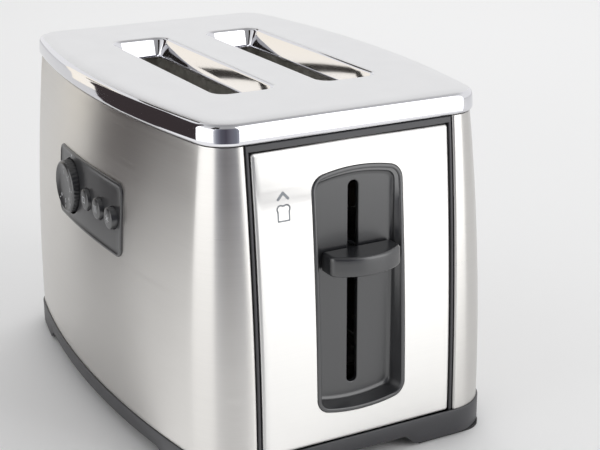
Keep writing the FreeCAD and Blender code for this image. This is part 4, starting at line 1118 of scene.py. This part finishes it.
# ---------------------------------------------------------------- repeated pieces, by one geometry node tree
def repeat_tree():
    """Copies a piece along two steps, turned a little at random by a fixed seed."""
    tree = bpy.data.node_groups.new("repeat", "GeometryNodeTree")
    kinds = {"Piece": "Object", "Start": "Vector", "First Step": "Vector", "First Count": "Int",
             "Second Step": "Vector", "Second Count": "Int", "Turn": "Float", "Seed": "Int",
             "Material": "Material"}
    tree.interface.new_socket("Geometry", in_out="INPUT", socket_type="NodeSocketGeometry")
    for label, kind in kinds.items():
        tree.interface.new_socket(label, in_out="INPUT", socket_type=f"NodeSocket{kind}")
    tree.interface.new_socket("Geometry", in_out="OUTPUT", socket_type="NodeSocketGeometry")
    given = add(tree, "NodeGroupInput").outputs
    first = add(tree, "GeometryNodeMeshLine", {"Count": given["First Count"], "Offset": given["First Step"],
                                               "Start Location": given["Start"]}, mode="OFFSET")
    second = add(tree, "GeometryNodeMeshLine", {"Count": given["Second Count"],
                                                "Offset": given["Second Step"]}, mode="OFFSET")
    grid = add(tree, "GeometryNodeInstanceOnPoints", {"Points": first.outputs["Mesh"],
                                                      "Instance": second.outputs["Mesh"]})
    spots = add(tree, "GeometryNodeRealizeInstances", {"Geometry": grid.outputs["Instances"]})
    piece = add(tree, "GeometryNodeObjectInfo", {"Object": given["Piece"]}, transform_space="ORIGINAL")
    chance = add(tree, "FunctionNodeRandomValue", {"Max": given["Turn"], "Seed": given["Seed"]})
    turn = add(tree, "ShaderNodeCombineXYZ", {"Z": chance.outputs["Value"]})
    copies = add(tree, "GeometryNodeInstanceOnPoints", {"Points": spots.outputs["Geometry"],
                                                        "Instance": piece.outputs["Geometry"],
                                                        "Rotation": turn.outputs["Vector"]})
    solid = add(tree, "GeometryNodeRealizeInstances", {"Geometry": copies.outputs["Instances"]})
    dressed = add(tree, "GeometryNodeSetMaterial", {"Geometry": solid.outputs["Geometry"],
                                                    "Material": given["Material"]})
    add(tree, "NodeGroupOutput", {"Geometry": dressed.outputs["Geometry"]})
    return tree


def repeat(name, piece, settings, node, finish_slot):
    """Runs the repeat tree, keeps its result as a plain mesh and lets it stand for a CAD node."""
    host = bpy.data.objects.new(name, bpy.data.meshes.new(name))
    bpy.context.scene.collection.objects.link(host)
    modifier = host.modifiers.new("repeat", "NODES")
    modifier.node_group = REPEAT
    settings = {"Piece": piece, "Turn": 0.0, "Seed": 7, **settings}
    for item in REPEAT.interface.items_tree:
        if item.in_out == "INPUT" and item.name in settings:
            modifier[item.identifier] = settings[item.name]
    bpy.context.view_layer.update()
    result = bpy.data.meshes.new_from_object(host.evaluated_get(bpy.context.evaluated_depsgraph_get()))
    bpy.data.objects.remove(host)
    bpy.data.objects.remove(piece)
    result.name = name
    finished = make_object(name, result, "housing", settings["Material"], 35)
    stand_for(finished, finish_slot, node)


RIBBON_TURNS, RIBBON_INSET, RIBBON_HALF, RIBBON_THICK, RIBBON_STEPS = 9, 1.4, 0.9, 0.18, 60
CRIMP, CRIMP_PITCH = 0.45, 11


def ribbon_piece(half_x, half_y):
    """One flat turn of heater ribbon round a card, crimped slightly up and down."""
    loops = []
    for sign in (1, -1):
        for k in range(RIBBON_STEPS + 1):
            x, y = sign * (half_x - 2 * half_x * k / RIBBON_STEPS), sign * half_y
            crimp = CRIMP * math.sin(x * TURN / CRIMP_PITCH)
            low, high, outside = crimp - RIBBON_HALF, crimp + RIBBON_HALF, y + sign * RIBBON_THICK
            loops.append([(x, y, low), (x, y, high), (x, outside, high), (x, outside, low)])
    shape = Shape()
    shape.rings(loops + loops[:1])
    return shape.finish("ribbon", "housing", RIBBON, 30)


def make_windings():
    """Ribbon wound flat round the three mica cards."""
    for place in ("front", "centre", "back"):
        low, high = box_mm(f"heater_card_{place}")
        wire_low, wire_high = box_mm(f"heater_winding_{place}")
        y, half_y = (low.y + high.y) / 2, (high.y - low.y) / 2 + 0.06
        start, stop = wire_low.z + RIBBON_INSET, wire_high.z - RIBBON_INSET
        piece = ribbon_piece(high.x + 0.1, half_y)
        rise = (stop - start) / (RIBBON_TURNS - 1)
        repeat(f"ribbon_winding_{place}", piece,
               {"Start": (0.0, y * MM, start * MM), "First Step": (0.0, 0.0, rise * MM),
                "First Count": RIBBON_TURNS, "Second Count": 1, "Material": RIBBON},
               f"heater_winding_{place}", "heater_wire")


HEAD_RADIUS, THREAD_PITCH = 3.2, 1.1


def make_screws():
    """Pan heads with a cross recess under the base."""
    low, high = box_mm("base_screws")

    def cross(angle):
        return 0.36 + 0.64 * abs(math.cos(2 * angle)) ** 6

    profile = [(0.5, 1.5, True), (1.4, 1.1, True), (2.0, 0.25, True), (2.2, 0.15, False), (2.8, 0.2, False),
               (3.1, 0.6, False), (HEAD_RADIUS, 1.2, False), (HEAD_RADIUS, 1.9, False), (1.5, 2.1, False)]
    length = high.z - low.z
    for k in range(int((length - 2.8) / THREAD_PITCH)):
        profile += [(1.2, 2.3 + THREAD_PITCH * k, False), (1.6, 2.75 + THREAD_PITCH * k, False)]
    profile += [(1.2, length - 0.6, False), (0.6, length, False)]
    shape = Shape()
    shape.rings([lathe_ring((0, 0, 0), 2, radius, z, 48, cross if crossed else None)
                 for radius, z, crossed in profile], cap_first=True, cap_last=True)
    piece = shape.finish("screw", "housing", ZINC, 30)
    half_x, half_y = (high.x - low.x) / 2 - HEAD_RADIUS, (high.y - low.y) / 2 - HEAD_RADIUS
    repeat("cross_head_screws", piece,
           {"Start": (-half_x * MM, -half_y * MM, low.z * MM), "First Step": (half_x * MM, 0.0, 0.0),
            "First Count": 3, "Second Step": (0.0, 2 * half_y * MM, 0.0), "Second Count": 2, "Turn": 1.5,
            "Material": ZINC},
           "base_screws", "zinc_steel")


REPEAT = repeat_tree()


# ---------------------------------------------------------------- carried-over CAD pieces
def dress_cad_nodes():
    """Gives the CAD nodes that are still shown their record slot's finish."""
    finish_of = {entry["node"]: entry["material_slot"] for entry in frame["record"]["subparts"]}
    for node, thing in frame["nodes"].items():
        for index in range(max(len(thing.material_slots), 1)):
            if index < len(thing.material_slots):
                thing.material_slots[index].material = SLOT_FINISH[finish_of[node]]
            else:
                thing.data.materials.append(SLOT_FINISH[finish_of[node]])


# ---------------------------------------------------------------- camera, floor and light
CAMERA_PLACE, CAMERA_LENS = (0.6749, -0.3216, 0.3490), 81.1
CAMERA_HEADING, CAMERA_TIP, CAMERA_ROLL = 90 - 28.15, 90 - 19.23, -0.32


def make_camera():
    """Looks at the lever end from above one corner; the angles are in degrees."""
    camera = bpy.data.objects.new("camera", bpy.data.cameras.new("camera"))
    camera.data.lens = CAMERA_LENS
    camera.data.sensor_width = 36.0
    heading, tip, roll = (math.radians(angle) for angle in (CAMERA_HEADING, CAMERA_TIP, CAMERA_ROLL))
    camera.matrix_world = (Matrix.Translation(CAMERA_PLACE) @ Matrix.Rotation(heading, 4, "Z")
                           @ Matrix.Rotation(tip, 4, "X") @ Matrix.Rotation(roll, 4, "Z"))
    bpy.context.scene.collection.objects.link(camera)
    bpy.context.scene.camera = camera


def glow(name, stops, strength):
    """A card's own light by azimuth in degrees round its origin: stops are (azimuth, sRGB hex)."""
    material = bpy.data.materials.new(name)
    material.use_nodes = True
    tree = material.node_tree
    tree.nodes.clear()
    place = add(tree, "ShaderNodeTexCoord").outputs["Object"]
    parts = add(tree, "ShaderNodeSeparateXYZ", {"Vector": place})
    azimuth = add(tree, "ShaderNodeMath", {0: parts.outputs["Y"], 1: parts.outputs["X"]},
                  operation="ARCTAN2")
    first, last = stops[0][0], stops[-1][0]
    share = add(tree, "ShaderNodeMapRange", {"Value": azimuth.outputs[0], "From Min": math.radians(first),
                                             "From Max": math.radians(last)})
    tones = add(tree, "ShaderNodeValToRGB", {"Fac": share.outputs["Result"]})
    for index, (angle, code) in enumerate(stops):
        spot = tones.color_ramp.elements[index] if index < 2 else tones.color_ramp.elements.new(1.0)
        spot.position = (angle - first) / (last - first)
        spot.color = linear(code)
    light = add(tree, "ShaderNodeEmission", {"Color": tones.outputs["Color"], "Strength": strength})
    add(tree, "ShaderNodeOutputMaterial", {"Surface": light.outputs["Emission"]})
    return material


NEAR_CORNER = (0.13, -0.068)
NEAR_RADIUS, FLOOR_CARD_Z = 0.02, 0.0012
WHITE = "#ffffff"


def reflection_card(name, rings, count, sector, stops, strength, height=0.0):
    """A card through (radius, z) rings round the near corner; only reflections show it."""
    first, last = sector
    points, faces = [], []
    for k in range(count + 1):
        angle = math.radians(first + (last - first) * k / count)
        points += [(radius * math.cos(angle), radius * math.sin(angle), z) for radius, z in rings]
    for k in range(count):
        faces.append((2 * k, 2 * k + 1, 2 * k + 3, 2 * k + 2))
    mesh = bpy.data.meshes.new(name)
    mesh.from_pydata(points, [], faces)
    card = bpy.data.objects.new(name, mesh)
    mesh.materials.append(glow(f"{name}_light", stops, strength))
    card.location = (*NEAR_CORNER, height)
    card.visible_camera = False
    card.visible_diffuse = False
    card.visible_shadow = False
    bpy.context.scene.collection.objects.link(card)


def upright_card(name, radius, heights, stops, strength=1.0):
    """A curved upright card whose light changes with azimuth."""
    rings = [(radius, z) for z in heights]
    reflection_card(name, rings, 24, (stops[0][0], stops[-1][0]), stops, strength)


def floor_card(name, outer_radius, sector, strength):
    """A flat sector of white light just over the floor."""
    rings = [(NEAR_RADIUS, 0.0), (outer_radius, 0.0)]
    reflection_card(name, rings, 16, sector, ((-180, WHITE), (180, WHITE)), strength, FLOOR_CARD_Z)


def soft_light(name, place, target, size, power):
    """A softbox that lights but does not show in reflections."""
    data = bpy.data.lights.new(name, "AREA")
    data.shape = "RECTANGLE"
    data.size, data.size_y = size
    data.energy = power
    light = bpy.data.objects.new(name, data)
    light.location = place
    light.rotation_euler = (Vector(target) - Vector(place)).to_track_quat("-Z", "Y").to_euler()
    light.visible_camera = False
    light.visible_glossy = False
    bpy.context.scene.collection.objects.link(light)


def make_room():
    """The room's own light: white walls, a dimmer ceiling, and dark on the viewer's side."""
    world = bpy.data.worlds.new("studio")
    bpy.context.scene.world = world
    world.use_nodes = True
    tree = world.node_tree
    background = tree.nodes["Background"]
    way = add(tree, "ShaderNodeTexCoord").outputs["Generated"]
    height = add(tree, "ShaderNodeSeparateXYZ", {"Vector": way}).outputs["Z"]
    facing = add(tree, "ShaderNodeVectorMath", {0: way, 1: (0.94, -0.34, 0.0)}, operation="DOT_PRODUCT")
    ceiling = add(tree, "ShaderNodeMapRange", {"Value": height, "From Min": 0.62, "From Max": 0.97,
                                               "To Min": 1.0, "To Max": 0.42}).outputs["Result"]
    viewer = add(tree, "ShaderNodeMapRange", {"Value": facing.outputs["Value"], "From Min": 0.35,
                                              "From Max": 0.85, "To Min": 1.0,
                                              "To Max": 0.25}).outputs["Result"]
    level = add(tree, "ShaderNodeMath", {0: ceiling, 1: viewer}, operation="MULTIPLY")
    tree.links.new(level.outputs[0], background.inputs["Strength"])
    background.inputs["Color"].default_value = (0.985, 0.985, 0.99, 1)


def make_studio():
    """White paper floor, two softboxes, the room and the cards that the steel mirrors."""
    bpy.context.scene.view_settings.view_transform = "Standard"
    mesh = bpy.data.meshes.new("floor")
    reach = 8.0
    corners = [(-reach, -reach, 0), (reach, -reach, 0), (reach, reach, 0), (-reach, reach, 0)]
    mesh.from_pydata(corners, [], [(0, 1, 2, 3)])
    floor = bpy.data.objects.new("floor", mesh)
    mesh.materials.append(surface("white_floor", Base_Color=linear("#f0f0f0"), Roughness=0.9)[0])
    bpy.context.scene.collection.objects.link(floor)
    make_room()
    soft_light("end_softbox", (1.3, 0.8, 0.7), (0.1, 0, 0.1), (1.0, 1.0), 7)
    soft_light("back_softbox", (-1.1, 0.9, 1.5), (0, 0, 0.1), (1.6, 1.2), 10)
    upright_card("end_card", 0.62, (-0.001, 1.1), ((19, WHITE), (64, WHITE)), 2.6)
    upright_card("side_card", 0.60, (-0.001, 0.55), ((-128, WHITE), (-64, WHITE)), 2.0)
    upright_card("dark_upper_card", 0.62, (0.5, 1.4), ((-78, "#2b2825"), (-50, "#2b2825")))
    upright_card("dark_side_card", 0.60, (-0.001, 0.9), ((-149, "#40393a"), (-129, "#40393a")))
    floor_card("end_floor_glow", 0.62, (12, 66), 1.12)
    floor_card("side_floor_glow", 0.60, (-150, 12), 1.12)
    upright_card("window_card", 1.1, (0.0, 0.62), ((-166, "#fbf3e4"), (-150, "#fffcf6")), 1.25)
    upright_card("dark_ceiling_card", 1.0, (0.72, 1.05), ((169, "#4a4540"), (195, "#4a4540")))
    upright_card("dark_left_card", 0.52, (0.0, 0.48), ((-160, "#40393a"), (-146, "#40393a")))
    upright_card("dark_pole", 0.86, (0.30, 0.46), ((-161.9, "#26231f"), (-160.1, "#26231f")))
    upright_card("viewer_card", 0.42, (-0.001, 0.55),
                 ((-64, "#e8e9ee"), (-55, "#9c9fa8"), (-47, "#7c7c88"), (-39, "#60606a"), (-23, "#53505a"),
                  (-6, "#74737d"), (10, "#82848e"), (18, "#a6a8b2")))


make_side_wraps()
make_top_cover()
make_lever_panel()
make_rear_panel()
make_borders()
make_bezel()
make_knob()
make_base()
make_panel_prints()
make_control_window()
make_control_surround()
make_dial()
make_keys()
make_tray_handle()
make_cord_gland()
make_bread_guides()
make_bread_racks()
make_return_spring()
make_windings()
make_screws()
dress_cad_nodes()
make_camera()
make_studio()
